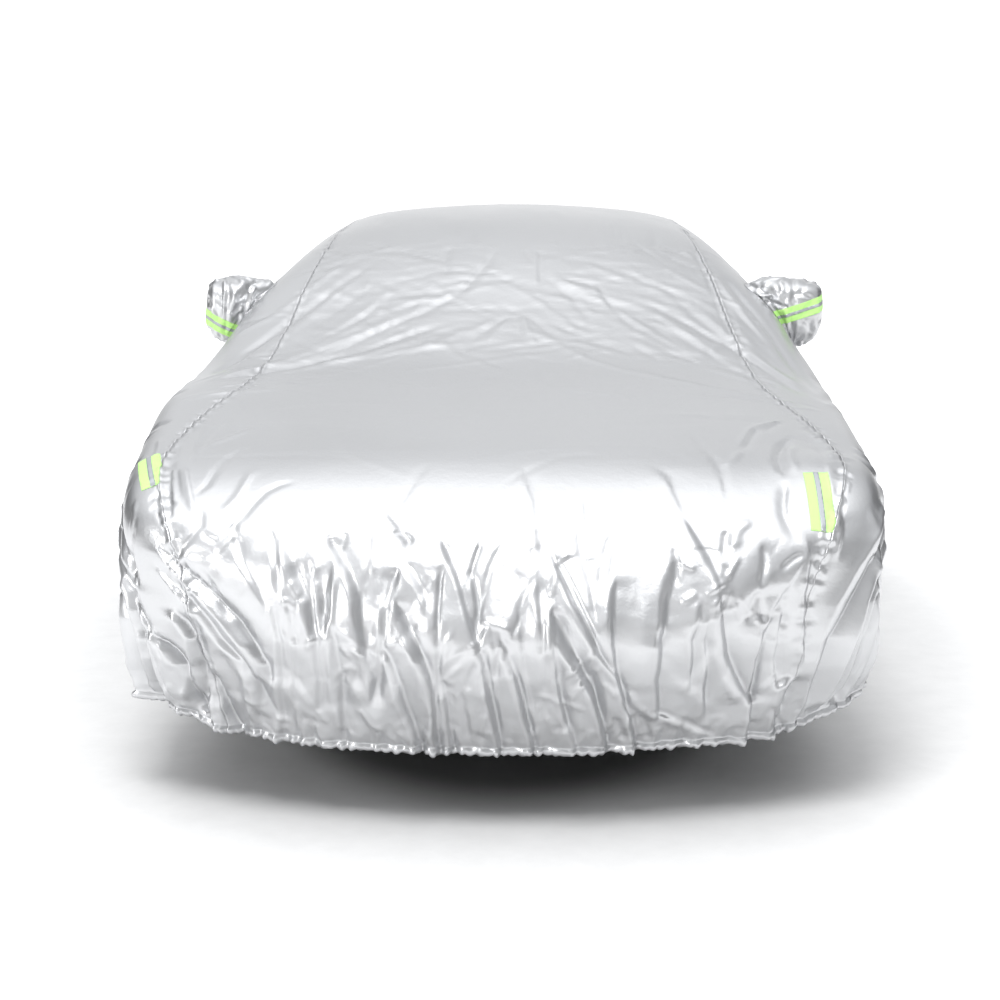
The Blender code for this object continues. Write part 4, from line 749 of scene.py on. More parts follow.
def laid_paths(ends, steps=5):
    """Many runs, each given by a few places, laid onto the form together."""
    return lay(np.array([
        smooth_rows(places, np.linspace(0, len(places) - 1, steps)) for places in ends]))


def seam_at(side, stations):
    places = [(side * row[0], row[1], row[2]) for row in STATIONS]
    return lay(smooth_rows(places, stations))


def hem_at(side, stations):
    places = [(side * x, y, z) for x, y, z in SIDE_HEM]
    return lay(smooth_rows(places, stations))


def guess(where, a, b):
    """A place to lay from: on the front or tail from x and z, on a side from y and z, or on top."""
    if where == "front":
        return (a, FRONT_Y, b)
    if where == "tail":
        return (a, TAIL_Y, b)
    if where == "top":
        return (a, b, float(profile_at(b)))
    return ((-STREWN_X if where == "left" else STREWN_X), a, b)


def strewn_creases(random):
    ends, facts = [], []
    areas = [(where, row[1:]) for row in STREWN
             for where in (("left", "right") if row[0] == "sides" else row[:1])]
    for where, (first, second, count, slant, spread, lengths, widths, heights) in areas:
        for _ in range(count):
            a, b = random.uniform(*first), random.uniform(*second)
            turn = math.radians(slant + random.normal(0, spread))
            half = random.uniform(*lengths) / 2
            da, db = half * math.sin(turn), -half * math.cos(turn)
            bend = random.normal(0, 0.12) * half
            ends.append([
                guess(where, a - da, b - db),
                guess(where, a + bend * math.cos(turn), b + bend * math.sin(turn)),
                guess(where, a + da, b + db),
            ])
            sign = 1 if random.uniform() < 0.5 else -1
            facts.append((
                random.uniform(*widths) / 1000, sign * random.uniform(*heights) / 1000,
                random.uniform(-0.6, 0.6)))
    return [(path, *fact, (1, 1)) for path, fact in zip(laid_paths(ends), facts)]


def fan_creases(random):
    ends, facts = [], []
    for pinch, first, last, count, start, end, half_width, height in FANS:
        pinch, first, last = map(np.array, (pinch, first, last))
        for k in range(count):
            share = np.clip((k + random.uniform(-0.4, 0.4)) / (count - 1), 0, 1)
            aim = first + share * (last - first)
            low = start + random.uniform(0, 0.12)
            high = end * random.uniform(0.55, 1.0)
            places = [pinch + (aim - pinch) * s for s in (low, (low + high) / 2, high)]
            places[1] = places[1] + random.normal(0, 0.02, 3) * np.linalg.norm(aim - pinch)
            ends.append(places)
            sign = 1 if k % 2 == 0 else -1
            size = random.uniform(0.5, 1.15)
            facts.append((
                half_width * random.uniform(0.7, 1.3) / 1000, sign * height * size / 1000,
                random.uniform(-0.5, 0.5)))
    return [(path, *fact, (1, 1)) for path, fact in zip(laid_paths(ends), facts)]


def pucker_creases(random, line, settings, both_ways):
    """Short creases that start on a line, or cross it, square to it give or take a slant."""
    steps, lengths, widths, heights = settings
    run = unit(np.gradient(line, axis=0))
    up = unit(np.cross(run, normal_to_form(line)))
    if up[:, 2].mean() < 0:
        up = -up
    reach = np.concatenate([[0], np.cumsum(np.linalg.norm(np.diff(line, axis=0), axis=1))])
    ends, facts = [], []
    at, sign = steps[0], 1
    while at < reach[-1] - steps[0]:
        place, way, along = (
            np.array([np.interp(at, reach, rows[:, i]) for i in range(3)])
            for rows in (line, up, run))
        way = unit(way + along * random.normal(0, 0.28))
        length = random.uniform(*lengths) * random.uniform(0.5, 1.0)
        back = length * random.uniform(0.5, 1.0) if both_ways else 0.012
        ends.append([place - way * back, place + way * (length - back) / 2, place + way * length])
        facts.append((
            random.uniform(*widths), sign * random.uniform(*heights), random.uniform(-0.5, 0.5)))
        sign = -sign if random.uniform() < 0.8 else sign
        at += random.uniform(*steps)
    closed = (1, 1) if both_ways else (0, 1)
    return [(path, *fact, closed) for path, fact in zip(laid_paths(ends), facts)]


def table_creases(random):
    """The creases of the tables, and the folds that the solids have on the sides and the tail."""
    ends, facts = [], []
    for half_width, height, lean, *places in FRONT_CREASES:
        ends.append([guess("front", x, z) for x, z in np.reshape(places, (-1, 2)) / 1000])
        facts.append((half_width / 1000, height / 1000, lean))
    for half_width, height, lean, *places in TOP_CREASES:
        ends.append(np.reshape(places, (-1, 3)) / 1000)
        facts.append((half_width / 1000, height / 1000, lean or random.choice((-0.5, 0.5))))
    folds = [((side * SIDE_X, y, z), (side * SIDE_X, low_y, low_z), half_width, height)
             for side, y, z, low_y, low_z, half_width, height in SIDE_FOLDS]
    folds += [((x, TAIL_Y, z), (low_x, TAIL_Y, low_z), half_width, height)
              for x, z, low_x, low_z, half_width, height in TAIL_FOLDS]
    for top, low, half_width, height in folds:
        ends.append([top, (np.array(top) + low) / 2, low])
        facts.append((half_width * FOLD_SPREAD, height, 0.0))
    return [(path, *fact, (1, 1)) for path, fact in zip(laid_paths(ends, 7), facts)]


def all_creases():
    random = np.random.default_rng(11)
    creases = table_creases(random) + strewn_creases(random) + fan_creases(random)
    x = np.linspace(-0.66, 0.66, 60)
    front_hem = lay(np.stack([x, np.full_like(x, -2.2), np.interp(np.abs(x), *END_HEM)], -1))
    tail_hem = front_hem * np.array([1, -1, 1])
    creases += pucker_creases(random, front_hem, HEM_PUCKERS, False)
    creases += pucker_creases(random, lay(tail_hem), HEM_PUCKERS, False)
    for side in (1, -1):
        creases += pucker_creases(random, hem_at(side, np.linspace(0, 12, 200)), HEM_PUCKERS, False)
        for first, last in ((0.2, 9), (9, 19.8)):
            seam = seam_at(side, np.linspace(first, last, 200))
            creases += pucker_creases(random, seam, SEAM_PUCKERS, True)
    return creases


CREASES = all_creases()
PLEAT_TABLE = pleat_table()


def dress(base):
    cloth = Cloth(base)
    cloth.swell()
    cloth.fold(CREASES)
    cloth.height += pleat_height(base)
    return cloth


def seam_profile(gap):
    """The ridge of a sewn seam and the groove beside it."""
    height, width = SEAM_RIDGE
    depth, place, reach = SEAM_GROOVE
    return height * np.exp(-((gap / width) ** 2)) - depth * np.exp(-(((gap - place) / reach) ** 2))


def steps_of(table):
    parts = [np.linspace(a, b, n + 1)[(1 if k else 0):] for k, (a, b, n) in enumerate(table)]
    return np.concatenate(parts)


def hem_wobble(points, low):
    """Lift and drop of a hem's edge, fading out a hand's breadth above it."""
    along = points[..., 0] * 1.0 + points[..., 1] * 1.3
    wave = sum(size * np.sin(along * pace + start) for size, pace, start in HEM_WAVES)
    share = np.clip(1 - (points[..., 2] - low) / 0.10, 0, 1)
    return HEM_WOBBLE * wave * share


def top_grid(stations, columns):
    """The top panel's places at these stations, from the left seam to the right one."""
    left, right = seam_at(-1, stations), seam_at(1, stations)
    middle = lay(smooth_rows([(0, row[3], row[4]) for row in STATIONS], stations))
    s = np.linspace(-1, 1, columns + 1)[None, :, None]
    base = (left[:, None] * s * (s - 1) + right[:, None] * s * (s + 1)) / 2
    base = lay(base + middle[:, None] * (1 - s * s))
    base[:, 0], base[:, -1] = left, right
    low = np.interp(np.abs(base[..., 0]), *END_HEM)
    base[..., 2] += hem_wobble(base, low)
    return lay(base, 4)


def side_grid(side):
    """A side panel's places, rows from the hem up to the seam, columns from front to rear."""
    skirt, half = COARSE_SKIRT_ROWS, COARSE_FRONT_ROWS + COARSE_REAR_ROWS
    middle = SKIRT_STATIONS + FRONT_HALF_STATIONS
    along = np.concatenate([
        np.linspace(SKIRT_STATIONS, middle, COARSE_FRONT_ROWS + 1),
        np.linspace(middle, 20 - SKIRT_STATIONS, COARSE_REAR_ROWS + 1)[1:]])

    def stations(columns):
        return np.interp(columns / 2, np.arange(half + 1), along)

    def edges(rows, columns):
        rise = rows * SKIRT_STATIONS / skirt
        return (hem_at(side, stations(columns) - SKIRT_STATIONS), seam_at(side, stations(columns)),
                seam_at(side, rise), seam_at(side, 20 - rise))

    rows, columns = np.arange(skirt + 1.0), np.arange(2 * half + 1.0)
    hem, top, front, rear = edges(rows, columns)
    u = (columns / columns[-1])[None, :, None]
    v = (rows / rows[-1])[:, None, None]
    base = (1 - v) * hem[None] + v * top[None]
    base = base + (np.clip(1 - u * 5, 0, 1) ** 2) * (front - base[:, 0])[:, None]
    base = base + (np.clip(1 - (1 - u) * 5, 0, 1) ** 2) * (rear - base[:, -1])[:, None]
    base = lay(base)
    for _ in range(EVENING_ROUNDS):
        base[1:-1, 1:-1] = (base[:-2, 1:-1] + base[2:, 1:-1]) / 2
        base[1:-1, 1:-1] = lay(base[1:-1, 1:-1], rounds=2)
    rows = np.linspace(0, skirt, SIDE_ROWS + 1)
    columns = steps_of(SIDE_COLUMNS)
    base = smooth_rows(base, rows)
    base = smooth_rows(base.transpose(1, 0, 2), columns).transpose(1, 0, 2)
    hem, top, front, rear = edges(rows, columns)
    u = (columns / columns[-1])[None, :, None]
    v = (rows / rows[-1])[:, None, None]
    base = base + (1 - v) * (hem - base[0])[None] + v * (top - base[-1])[None]
    base = base + (1 - u) * (front - base[:, 0])[:, None] + u * (rear - base[:, -1])[:, None]
    base = lay(base, 6)
    low = base[:1, :, 2]
    base[..., 2] += hem_wobble(base, low) * ease(u[..., 0], 0, 0.02) * ease(1 - u[..., 0], 0, 0.02)
    return lay(base, 4)


def reach_along(grid, axis):
    """How far each place of a grid is from its row's or column's first one, along it."""
    steps = np.linalg.norm(np.diff(grid, axis=axis), axis=-1)
    start = np.zeros_like(steps.take([0], axis=axis))
    return np.concatenate([start, np.cumsum(steps, axis=axis)], axis=axis)


def gap_to_edge(grid, axis, last):
    reach = reach_along(grid, axis)
    return reach.take([-1], axis=axis) - reach if last else reach


def turned_edge(grid, normal, axis, last):
    """The grid with one more row or column, turned in behind the cloth, as a seam's allowance."""
    n = -1 if last else 0
    edge, out = grid.take([n], axis=axis), normal.take([n], axis=axis)
    inside = edge - out * SEAM_TURN
    parts = [grid, inside] if last else [inside, grid]
    inward = [normal, out] if last else [out, normal]
    return np.concatenate(parts, axis=axis), np.concatenate(inward, axis=axis)


def rolled_hem(grid, normal, last):
    """The grid with a rolled hem at its first or last row: down, round and up inside."""
    edge, beside, out = (grid[-1], grid[-2], normal[-1]) if last else (grid[0], grid[1], normal[0])
    down = unit(edge - beside)
    down = unit(down * 0.4 + np.array([0, 0, -0.6]))
    out = unit(out * np.array([1, 1, 0.2]))
    run = np.concatenate([[0], np.cumsum(np.linalg.norm(np.diff(edge, axis=0), axis=1))])
    rows = []
    for turn in (-60, -25, 5, 35, 65, 95, 125, 160, 200):
        angle = math.radians(turn)
        gather = sum(
            size * np.sin(run * pace + angle * twist + pace) for size, pace, twist in HEM_GATHERS)
        gather = (np.abs(gather) - 0.0015) * math.cos(math.radians(turn - 40))
        reach = (HEM_ROLL + gather)[:, None]
        middle = edge + down * HEM_ROLL * 1.1 - out * HEM_ROLL * 0.35
        rows.append(middle + out * reach * math.cos(angle) + down * reach * math.sin(angle))
    rows.append(rows[-1] - down * 0.016)
    ways = np.repeat(out[None], len(rows), axis=0)
    if last:
        return np.concatenate([grid, rows]), np.concatenate([normal, ways])
    return np.concatenate([rows[::-1], grid]), np.concatenate([ways, normal])


def quads_of(index):
    cells = np.stack([index[:-1, :-1], index[:-1, 1:], index[1:, 1:], index[1:, :-1]], -1)
    return cells.reshape(-1, 4)


def add_mesh(name, points, places, faces, material, nodes):
    """A smooth mesh from points, cloth places in metres, and arrays of faces."""
    mesh = bpy.data.meshes.new(name)
    corners = np.concatenate([part.ravel() for part in faces]).astype(np.int32)
    sizes = np.concatenate([np.full(len(part), part.shape[1]) for part in faces])
    starts = np.concatenate([[0], np.cumsum(sizes)[:-1]]).astype(np.int32)
    mesh.vertices.add(len(points))
    mesh.vertices.foreach_set("co", (points - ROOF_REST).astype(np.float32).ravel())
    mesh.loops.add(len(corners))
    mesh.loops.foreach_set("vertex_index", corners)
    mesh.polygons.add(len(sizes))
    mesh.polygons.foreach_set("loop_start", starts)
    mesh.polygons.foreach_set("use_smooth", np.ones(len(sizes), dtype=bool))
    mesh.update(calc_edges=True)
    layer = mesh.uv_layers.new(name="cloth")
    layer.data.foreach_set("uv", places[corners].astype(np.float32).ravel())
    mesh.materials.append(material)
    thing = bpy.data.objects.new(name, mesh)
    bpy.context.collection.objects.link(thing)
    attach(thing, "root")
    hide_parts(*nodes)
    return thing


def cloth_places(grid):
    """A cloth's flat coordinates in metres, along its rows and up its columns."""
    across = reach_along(grid, 1)
    across = across - across[:, -1:] / 2
    up = reach_along(grid, 0).mean(1, keepdims=True)
    return np.stack(np.broadcast_arrays(across, up), -1)


def top_panel():
    fine, coarse = steps_of(FRONT_ROWS), steps_of(REST_ROWS)[1:]
    grids, normals = [], []
    for stations, columns in ((fine, FRONT_COLUMNS), (coarse, FRONT_COLUMNS // 2)):
        cloth = dress(top_grid(stations, columns))
        gap = np.minimum(gap_to_edge(cloth.base, 1, False), gap_to_edge(cloth.base, 1, True))
        cloth.height += seam_profile(gap)
        grids.append(cloth.outer())
        normals.append(cloth.normal)
    front, front_out = rolled_hem(grids[0], normals[0], False)
    rest, rest_out = rolled_hem(grids[1], normals[1], True)
    parts = []
    for grid, out in ((front, front_out), (rest, rest_out)):
        for last in (False, True):
            grid, out = turned_edge(grid, out, 1, last)
        parts.append(grid)
    front, rest = parts
    split = front.shape[0] * front.shape[1]
    low = np.arange(split).reshape(front.shape[:2])
    high = split + np.arange(rest.shape[0] * rest.shape[1]).reshape(rest.shape[:2])
    a, b = low[-1], high[0]
    ends = np.array([(a[0], a[1], b[1], b[0]), (a[-2], a[-1], b[-1], b[-2])])
    inner = a[1:-1]
    fives = np.stack([inner[0:-2:2], inner[1:-1:2], inner[2::2], b[2:-1], b[1:-2]], -1)
    places = cloth_places(front)
    above = cloth_places(rest)
    step = np.linalg.norm(rest[0].mean(0) - front[-1].mean(0))
    above[..., 1] += places[-1, 0, 1] + step
    points = np.concatenate([front.reshape(-1, 3), rest.reshape(-1, 3)])
    places = np.concatenate([places.reshape(-1, 2), above.reshape(-1, 2)])
    faces = [quads_of(low), quads_of(high), ends, fives]
    return add_mesh("cover_top", points, places, faces, SILVER, ("top_panel",))


def side_panel(side, word):
    cloth = dress(side_grid(side))
    base = cloth.base
    gap = np.minimum(gap_to_edge(base, 1, False), gap_to_edge(base, 1, True))
    gap = np.minimum(gap, gap_to_edge(base, 0, True))
    cloth.height += seam_profile(gap)
    grid, out = turned_edge(cloth.outer(), cloth.normal, 0, True)
    grid, out = rolled_hem(grid, out, False)
    for last in (False, True):
        grid, out = turned_edge(grid, out, 1, last)
    index = np.arange(grid.shape[0] * grid.shape[1]).reshape(grid.shape[:2])
    faces = quads_of(index)
    points = grid.reshape(-1, 3)
    middle = points[faces].mean(1)
    y, z, half_length, half_height = MIRROR_HOLE
    off = ((middle[:, 1] - y) / half_length) ** 2 + ((middle[:, 2] - z) / half_height) ** 2
    faces = faces[off > 1]
    if side < 0:
        faces = faces[:, ::-1]
    name = "cover_side_" + word
    return add_mesh(name, points, cloth_places(grid).reshape(-1, 2), [faces], SILVER,
                    ("side_panel_" + word,))


def tree_of(thing):
    points = [vertex.co for vertex in thing.data.vertices]
    return BVHTree.FromPolygons(points, [tuple(face.vertices) for face in thing.data.polygons])


def wall_reach(tree, side, y, z):
    """How far out a side panel stands at each height and length."""
    found = []
    for place_y, place_z in zip(y, z):
        start = Vector((side * 1.3, place_y, place_z)) - Vector(ROOF_REST)
        hit = tree.ray_cast(start, Vector((-side, 0, 0)))[0]
        found.append(abs(hit.x) if hit else np.nan)
    found = np.array(found)
    found[np.isnan(found)] = np.nanmean(found)
    return found


def mirror_pocket(side, word, panel):
    angle = np.linspace(0, 2 * math.pi, POCKET_SIDES + 1)
    across, up = -np.cos(angle), np.sin(angle)
    neck_y, neck_z, neck_depth, neck_height = POCKET_RINGS[0][1:5]
    tree = tree_of(panel)
    neck = wall_reach(tree, side, neck_y + neck_depth * across, neck_z + neck_height * up)
    neck = (np.roll(neck[:-1], 1) + neck[:-1] + np.roll(neck[:-1], -1)) / 3
    neck = np.append(neck, neck[0])
    steps = np.linspace(0, len(POCKET_RINGS) - 1, POCKET_ROWS)
    rings = smooth_rows(np.array(POCKET_RINGS)[:, None], steps)
    grid = []
    for out, y, z, half_depth, half_height, leave in rings[:, 0]:
        power = 2 / (2 + (POCKET_SQUARENESS - 2) * leave)
        reach = neck * (1 - leave) + neck.mean() * leave + out * POCKET_STRETCH[side]
        half_depth, half_height = max(half_depth, 0.0006), max(half_height, 0.0006)
        ring_y = y + half_depth * np.sign(across) * np.abs(across) ** power
        ring_z = z + half_height * np.sign(up) * np.abs(up) ** power
        grid.append(np.stack([side * reach, ring_y, ring_z], -1))
    grid = np.array(grid)
    radial = grid - grid[:, :-1].mean(1, keepdims=True)
    radial[..., 0] = 0
    radial = unit(radial)
    free = ease(rings[:, 0, 0], 0.02, 0.06) * ease(0.172 - rings[:, 0, 0], 0.0, 0.03)
    for place, width, height in POCKET_PINCHES:
        off = (angle - place + math.pi) % (2 * math.pi) - math.pi
        pinch = height * np.exp(-((off / width) ** 2))
        grid += radial * pinch[None, :, None] * free[:, None, None]
    run = np.gradient(grid, axis=0)
    turn = np.gradient(grid, axis=1)
    turn[:, 0] = turn[:, -1] = grid[:, 1] - grid[:, -2]
    normal = unit(np.cross(turn, run))
    if (normal * radial).sum() < 0:
        normal = -normal
    cloth = Cloth(grid, normal)
    random = np.random.default_rng(5 + side)
    creases = []
    for low, high, slant, count, widths, heights in POCKET_CREASES:
        for _ in range(count):
            row = random.uniform(low, high) * (POCKET_ROWS - 1)
            column = random.uniform(0, POCKET_SIDES)
            length = random.uniform(0.12, 0.35)
            bend = random.normal(slant, 0.5)
            steps = np.linspace(-0.5, 0.5, 5) * length
            rows = np.clip(row + steps * math.cos(bend) * POCKET_ROWS, 0, POCKET_ROWS - 1)
            columns = (column + steps * math.sin(bend) * POCKET_SIDES) % POCKET_SIDES
            path = grid[rows.astype(int), columns.astype(int)]
            sign = 1 if random.uniform() < 0.5 else -1
            size = random.uniform(*heights)
            crease = (path, random.uniform(*widths), sign * size, random.uniform(-0.6, 0.6), (1, 1))
            if np.linalg.norm(np.diff(path, axis=0), axis=1).min() > 1e-4:
                creases.append(crease)
    cloth.fold(creases)
    ends = ease(rings[:, 0, 0], 0.0, 0.012) * ease(0.1716 - rings[:, 0, 0], 0.0, 0.02)
    cloth.height *= ends[:, None]
    grid = cloth.outer()
    grid[:, -1] = grid[:, 0]
    tip = grid[-1, :-1].mean(0)
    closing = [
        tip + (grid[-1] - tip) * share + np.array([side * rise, 0, 0])
        for share, rise in POCKET_TIP]
    grid = np.concatenate([grid, closing])
    index = np.arange(len(grid) * POCKET_SIDES).reshape(len(grid), POCKET_SIDES)
    index = np.concatenate([index, index[:, :1]], axis=1)
    faces = quads_of(index)
    if side > 0:
        faces = faces[:, ::-1]
    name = "cover_pocket_" + word
    places = cloth_places(grid)[:, :-1]
    return add_mesh(name, grid[:, :-1].reshape(-1, 3), places.reshape(-1, 2), [faces], SILVER,
                    ("mirror_pocket_" + word,))


def add_tape(name, cloth, centre, along, out, size, lift, material, node):
    """A tape cut from a copy of its cloth's skin, a little above it."""
    centre = Vector(centre) - Vector(ROOF_REST)
    out = Vector(out).normalized()
    along = Vector(along)
    along = (along - out * along.dot(out)).normalized()
    across = along.cross(out)
    width, length = size
    shape = bmesh.new()
    shape.from_mesh(cloth.data)
    far = 0.6 * max(length, width) + 0.03
    spare = [vertex for vertex in shape.verts if (vertex.co - centre).length > far]
    bmesh.ops.delete(shape, geom=spare, context="VERTS")
    shape.normal_update()
    hidden = [face for face in shape.faces if face.normal.dot(out) < -0.15]
    bmesh.ops.delete(shape, geom=hidden, context="FACES")
    shape.normal_update()
    shifts = [(vertex, vertex.normal * lift) for vertex in shape.verts]
    for vertex, shift in shifts:
        vertex.co += shift
    for way, size in ((across, width), (-across, width), (along, length), (-along, length)):
        geometry = shape.verts[:] + shape.edges[:] + shape.faces[:]
        bmesh.ops.bisect_plane(
            shape, geom=geometry, dist=1e-6, plane_co=centre + way * (size / 2), plane_no=way,
            clear_outer=True)
    mesh = bpy.data.meshes.new(name)
    layer = shape.loops.layers.uv.verify()
    for face in shape.faces:
        face.smooth = True
        for loop in face.loops:
            off = loop.vert.co - centre
            loop[layer].uv = (off.dot(across), off.dot(along))
    area = sum(face.calc_area() for face in shape.faces)
    shape.to_mesh(mesh)
    shape.free()
    mesh.materials.append(material)
    thing = bpy.data.objects.new(name, mesh)
    bpy.context.collection.objects.link(thing)
    thick = thing.modifiers.new("Thickness", "SOLIDIFY")
    thick.thickness = TAPE_THICKNESS
    thick.offset = -1.0
    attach(thing, "root")
    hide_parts(node)
    return thing


def shader_of(name, color, roughness, metallic):
    material = bpy.data.materials.new(name)
    material.use_nodes = True
    shader = material.node_tree.nodes["Principled BSDF"]
    shader.inputs["Base Color"].default_value = (*color, 1.0)
    shader.inputs["Roughness"].default_value = roughness
    shader.inputs["Metallic"].default_value = metallic
    return material, material.node_tree, shader


def node(tree, kind, inputs=(), **settings):
    made = tree.nodes.new(kind)
    for name, value in settings.items():
        setattr(made, name, value)
    for key, value in dict(inputs).items():
        if hasattr(value, "is_linked"):
            tree.links.new(value, made.inputs[key])
        else:
            made.inputs[key].default_value = value
    return made


def mapped(tree, value, start, end, low, high, how="LINEAR"):
    """A value that runs from low to high while this one runs from start to end."""
    made = node(tree, "ShaderNodeMapRange", {
        "Value": value, "From Min": start, "From Max": end, "To Min": low, "To Max": high},
        interpolation_type=how)
    return made.outputs["Result"]


def times(tree, value, factor):
    made = node(tree, "ShaderNodeVectorMath", {0: value, 1: factor}, operation="MULTIPLY")
    return made.outputs["Vector"]


def emboss(tree, shader, *reliefs):
    """Bumps on a shader, one on the other: each its height, strength and distance."""
    under = {}
    for height, strength, distance in reliefs:
        bump = node(tree, "ShaderNodeBump", {
            "Strength": strength, "Distance": distance, "Height": height, **under})
        under = {"Normal": bump.outputs["Normal"]}
    tree.links.new(bump.outputs["Normal"], shader.inputs["Normal"])


def silver_material():
    """Silver-coated taffeta: fine crinkles, a faint weave and a satin metal sheen."""
    material, tree, shader = shader_of("silver_cloth", CLOTH_COLOR, 0.32, CLOTH_METAL)
    place = node(tree, "ShaderNodeTexCoord").outputs["Object"]
    flat = node(tree, "ShaderNodeUVMap", uv_map="cloth").outputs["UV"]
    crinkle = node(tree, "ShaderNodeTexNoise", {
        "Vector": place, "Scale": 42.0, "Detail": 4.0, "Roughness": 0.55, "Distortion": 0.4})
    fine = node(tree, "ShaderNodeTexNoise", {
        "Vector": place, "Scale": 160.0, "Detail": 3.0, "Roughness": 0.6, "Distortion": 0.3})
    weave = node(tree, "ShaderNodeTexWave", {
        "Vector": flat, "Scale": 160.0, "Distortion": 0.6, "Detail": 1.0},
        wave_type="BANDS", bands_direction="DIAGONAL")
    patches = node(tree, "ShaderNodeTexNoise", {"Vector": place, "Scale": 3.2, "Detail": 3.0})
    emboss(tree, shader, (crinkle.outputs["Fac"], 0.4, 0.0016), (fine.outputs["Fac"], 0.5, 0.0005),
           (weave.outputs["Fac"], 0.12, 0.0003))
    rough = mapped(tree, patches.outputs["Fac"], 0.3, 0.7, *CLOTH_ROUGHNESS)
    tree.links.new(rough, shader.inputs["Roughness"])
    return material


def tape_material():
    """Fluorescent woven tape with a fine cross rib, and a faint painted glow that stands in for its
    fluorescence.
    """
    material, tree, shader = shader_of("yellow_green_tape", TAPE_COLOR, 0.45, 0.0)
    # Painted glow: a faint emission stands in for the tape's fluorescence.
    shader.inputs["Emission Color"].default_value = (*TAPE_PAINTED_GLOW, 1.0)
    shader.inputs["Emission Strength"].default_value = 0.03
    flat = node(tree, "ShaderNodeUVMap", uv_map="cloth").outputs["UV"]
    rib = node(tree, "ShaderNodeTexWave", {
        "Vector": flat, "Scale": 220.0, "Distortion": 0.3}, wave_type="BANDS", bands_direction="Y")
    emboss(tree, shader, (rib.outputs["Fac"], 0.3, 0.0004))
    return material


def stripe_material():
    """Grey reflective tape with a fine honeycomb of beads."""
    material, tree, shader = shader_of("silver_stripe", STRIPE_COLOR, 0.40, 0.4)
    flat = node(tree, "ShaderNodeUVMap", uv_map="cloth").outputs["UV"]
    cells = node(tree, "ShaderNodeTexVoronoi", {"Vector": flat, "Scale": 900.0, "Randomness": 0.2})
    emboss(tree, shader, (cells.outputs["Distance"], 0.25, 0.0003))
    return material


def direction(turn, rise):
    """The way to a place: degrees to the right of the camera's side, and above the horizon."""
    turn, rise = math.radians(turn), math.radians(rise)
    return (math.sin(turn) * math.cos(rise), -math.cos(turn) * math.cos(rise), math.sin(rise))


def studio():
    world = bpy.data.worlds.new("studio")
    bpy.context.scene.world = world
    world.use_nodes = True
    tree = world.node_tree
    background = tree.nodes["Background"]
    way = node(tree, "ShaderNodeTexCoord").outputs["Generated"]
    height = node(tree, "ShaderNodeSeparateXYZ", {"Vector": way}).outputs["Z"]
    ramp = node(tree, "ShaderNodeValToRGB", {"Fac": height})
    ramp.color_ramp.elements.remove(ramp.color_ramp.elements[0])
    for k, (rise, level, blue) in enumerate(SKY):
        point = ramp.color_ramp.elements[0] if k == 0 else ramp.color_ramp.elements.new(0)
        point.position = math.sin(math.radians(rise))
        point.color = (*(level / 2 * (1 + blue * tint) for tint in SKY_BLUE), 1.0)
    total = times(tree, ramp.outputs["Color"], (2.0, 2.0, 2.0))
    for turn, rise, inner, outer, strength in LIGHTS:
        near = node(tree, "ShaderNodeVectorMath", {
            0: way, 1: direction(turn, rise)}, operation="DOT_PRODUCT")
        low, high = math.cos(math.radians(outer)), math.cos(math.radians(inner))
        share = mapped(tree, near.outputs["Value"], low, high, 0.0, strength, "SMOOTHSTEP")
        total = node(tree, "ShaderNodeVectorMath", {0: total, 1: share}, operation="ADD").outputs[0]
    total = node(tree, "ShaderNodeVectorMath", {
        0: total, 1: (DARKEST, DARKEST, DARKEST)}, operation="MAXIMUM").outputs[0]
    tree.links.new(total, background.inputs["Color"])
    world.cycles.sampling_method = "MANUAL"
    world.cycles.sample_map_resolution = 512


def add_lamp(turn, rise, far, size, brightness):
    way = Vector(direction(turn, rise))
    data = bpy.data.lights.new("lamp", "AREA")
    data.shape = "DISK"
    data.size = size
    data.energy = brightness * math.pi * far * far
    lamp = bpy.data.objects.new("lamp", data)
    lamp.location = way * far + Vector(LAMPS_AIM)
    lamp.rotation_mode = "QUATERNION"
    lamp.rotation_quaternion = way.to_track_quat("Z", "Y")
    bpy.context.collection.objects.link(lamp)


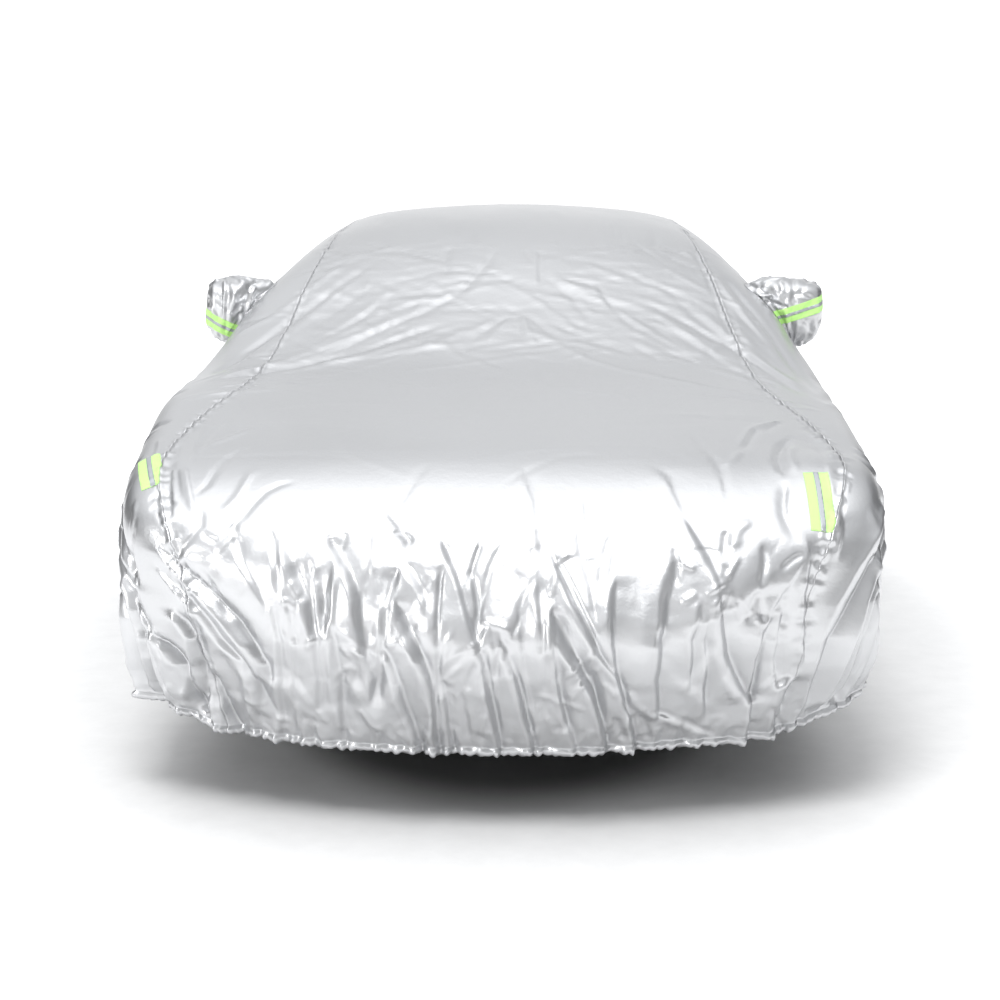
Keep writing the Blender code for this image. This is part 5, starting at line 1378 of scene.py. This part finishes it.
def add_floor():
    shape = bmesh.new()
    bmesh.ops.create_circle(shape, cap_ends=True, segments=128, radius=70.0)
    mesh = bpy.data.meshes.new("floor")
    shape.to_mesh(mesh)
    shape.free()
    floor = bpy.data.objects.new("floor", mesh)
    floor.location = (0, -0.72, -ROOF_REST[2])
    bpy.context.collection.objects.link(floor)
    material, tree, shader = shader_of("floor", FLOOR_COLOR, 0.7, 0.0)
    place = node(tree, "ShaderNodeTexCoord").outputs["Object"]
    oval = node(tree, "ShaderNodeVectorMath", {
        0: times(tree, place, PAINTED_GLOW_OVAL)}, operation="LENGTH")
    # Painted glow: the floor emits light outside an oval round the cover, though it is no lamp.
    painted_glow = mapped(tree, oval.outputs["Value"], *PAINTED_GLOW_EDGE, 0.0, FLOOR_PAINTED_GLOW, "SMOOTHSTEP")
    shader.inputs["Emission Color"].default_value = (1, 1, 1, 1)
    tree.links.new(painted_glow, shader.inputs["Emission Strength"])
    grain = node(tree, "ShaderNodeTexNoise", {
        "Vector": place, "Scale": 9.0, "Detail": 8.0, "Roughness": 0.7})
    shade = mapped(tree, grain.outputs["Fac"], 0.3, 0.7, 0.93, 1.0)
    # Painted shadow: the floor's colour falls inside an oval where the cover stands.
    painted_shadow_reach = node(tree, "ShaderNodeVectorMath", {
        0: times(tree, place, (1 / PAINTED_SHADOW_OVAL[0], 1 / PAINTED_SHADOW_OVAL[1], 1.0))}, operation="LENGTH")
    painted_shadow = mapped(tree, painted_shadow_reach.outputs["Value"], *PAINTED_SHADOW_EDGE, PAINTED_SHADOW_LEVEL, 1.0, "SMOOTHSTEP")
    color = times(tree, times(tree, shade, FLOOR_COLOR), painted_shadow)
    tree.links.new(color, shader.inputs["Base Color"])
    mesh.materials.append(material)


def add_camera():
    data = bpy.data.cameras.new("camera")
    data.lens = CAMERA_LENS
    data.sensor_width = 36.0
    data.clip_end = 200.0
    camera = bpy.data.objects.new("camera", data)
    camera.location = CAMERA_PLACE
    camera.rotation_euler = (math.radians(90 - CAMERA_PITCH), 0, math.radians(-CAMERA_YAW))
    bpy.context.collection.objects.link(camera)
    bpy.context.scene.camera = camera


bpy.context.scene.view_settings.view_transform = "Standard"
SILVER = silver_material()
GLOW = tape_material()
STRIPE = stripe_material()
add_camera()
studio()
for lamp in LAMPS:
    add_lamp(*lamp)
add_floor()

top = top_panel()
for side, word, corner, reflector in (
        (1, "right", CORNER_TAPES[0], POCKET_TAPES[0]),
        (-1, "left", CORNER_TAPES[1], POCKET_TAPES[1])):
    panel = side_panel(side, word)
    pocket = mirror_pocket(side, word, panel)
    _, centre, along, length = corner
    spots = [("corner", top if side > 0 else panel, centre, along,
              normal_to_form(np.array(centre)), length, TAPE_WIDTH, STRIPE_WIDTH)]
    _, centre, rise = reflector
    spots.append(("pocket", pocket, centre, (1.0, 0.0, rise), (0, -1, 0), POCKET_TAPE_LENGTH,
                  POCKET_TAPE_WIDTH, POCKET_STRIPE_WIDTH))
    for spot, cloth, centre, along, out, length, tape_width, stripe_width in spots:
        for kind, width, lift, material, slot in (
                ("tape", tape_width, TAPE_LIFT, GLOW, "yellow_green_tape"),
                ("stripe", stripe_width, STRIPE_LIFT, STRIPE, "silver_stripe")):
            add_tape("%s_%s_on_%s" % (spot, kind, word), cloth, centre, along, out,
                     (width, length), lift, material, "%s_%s_%s" % (spot, kind, word))
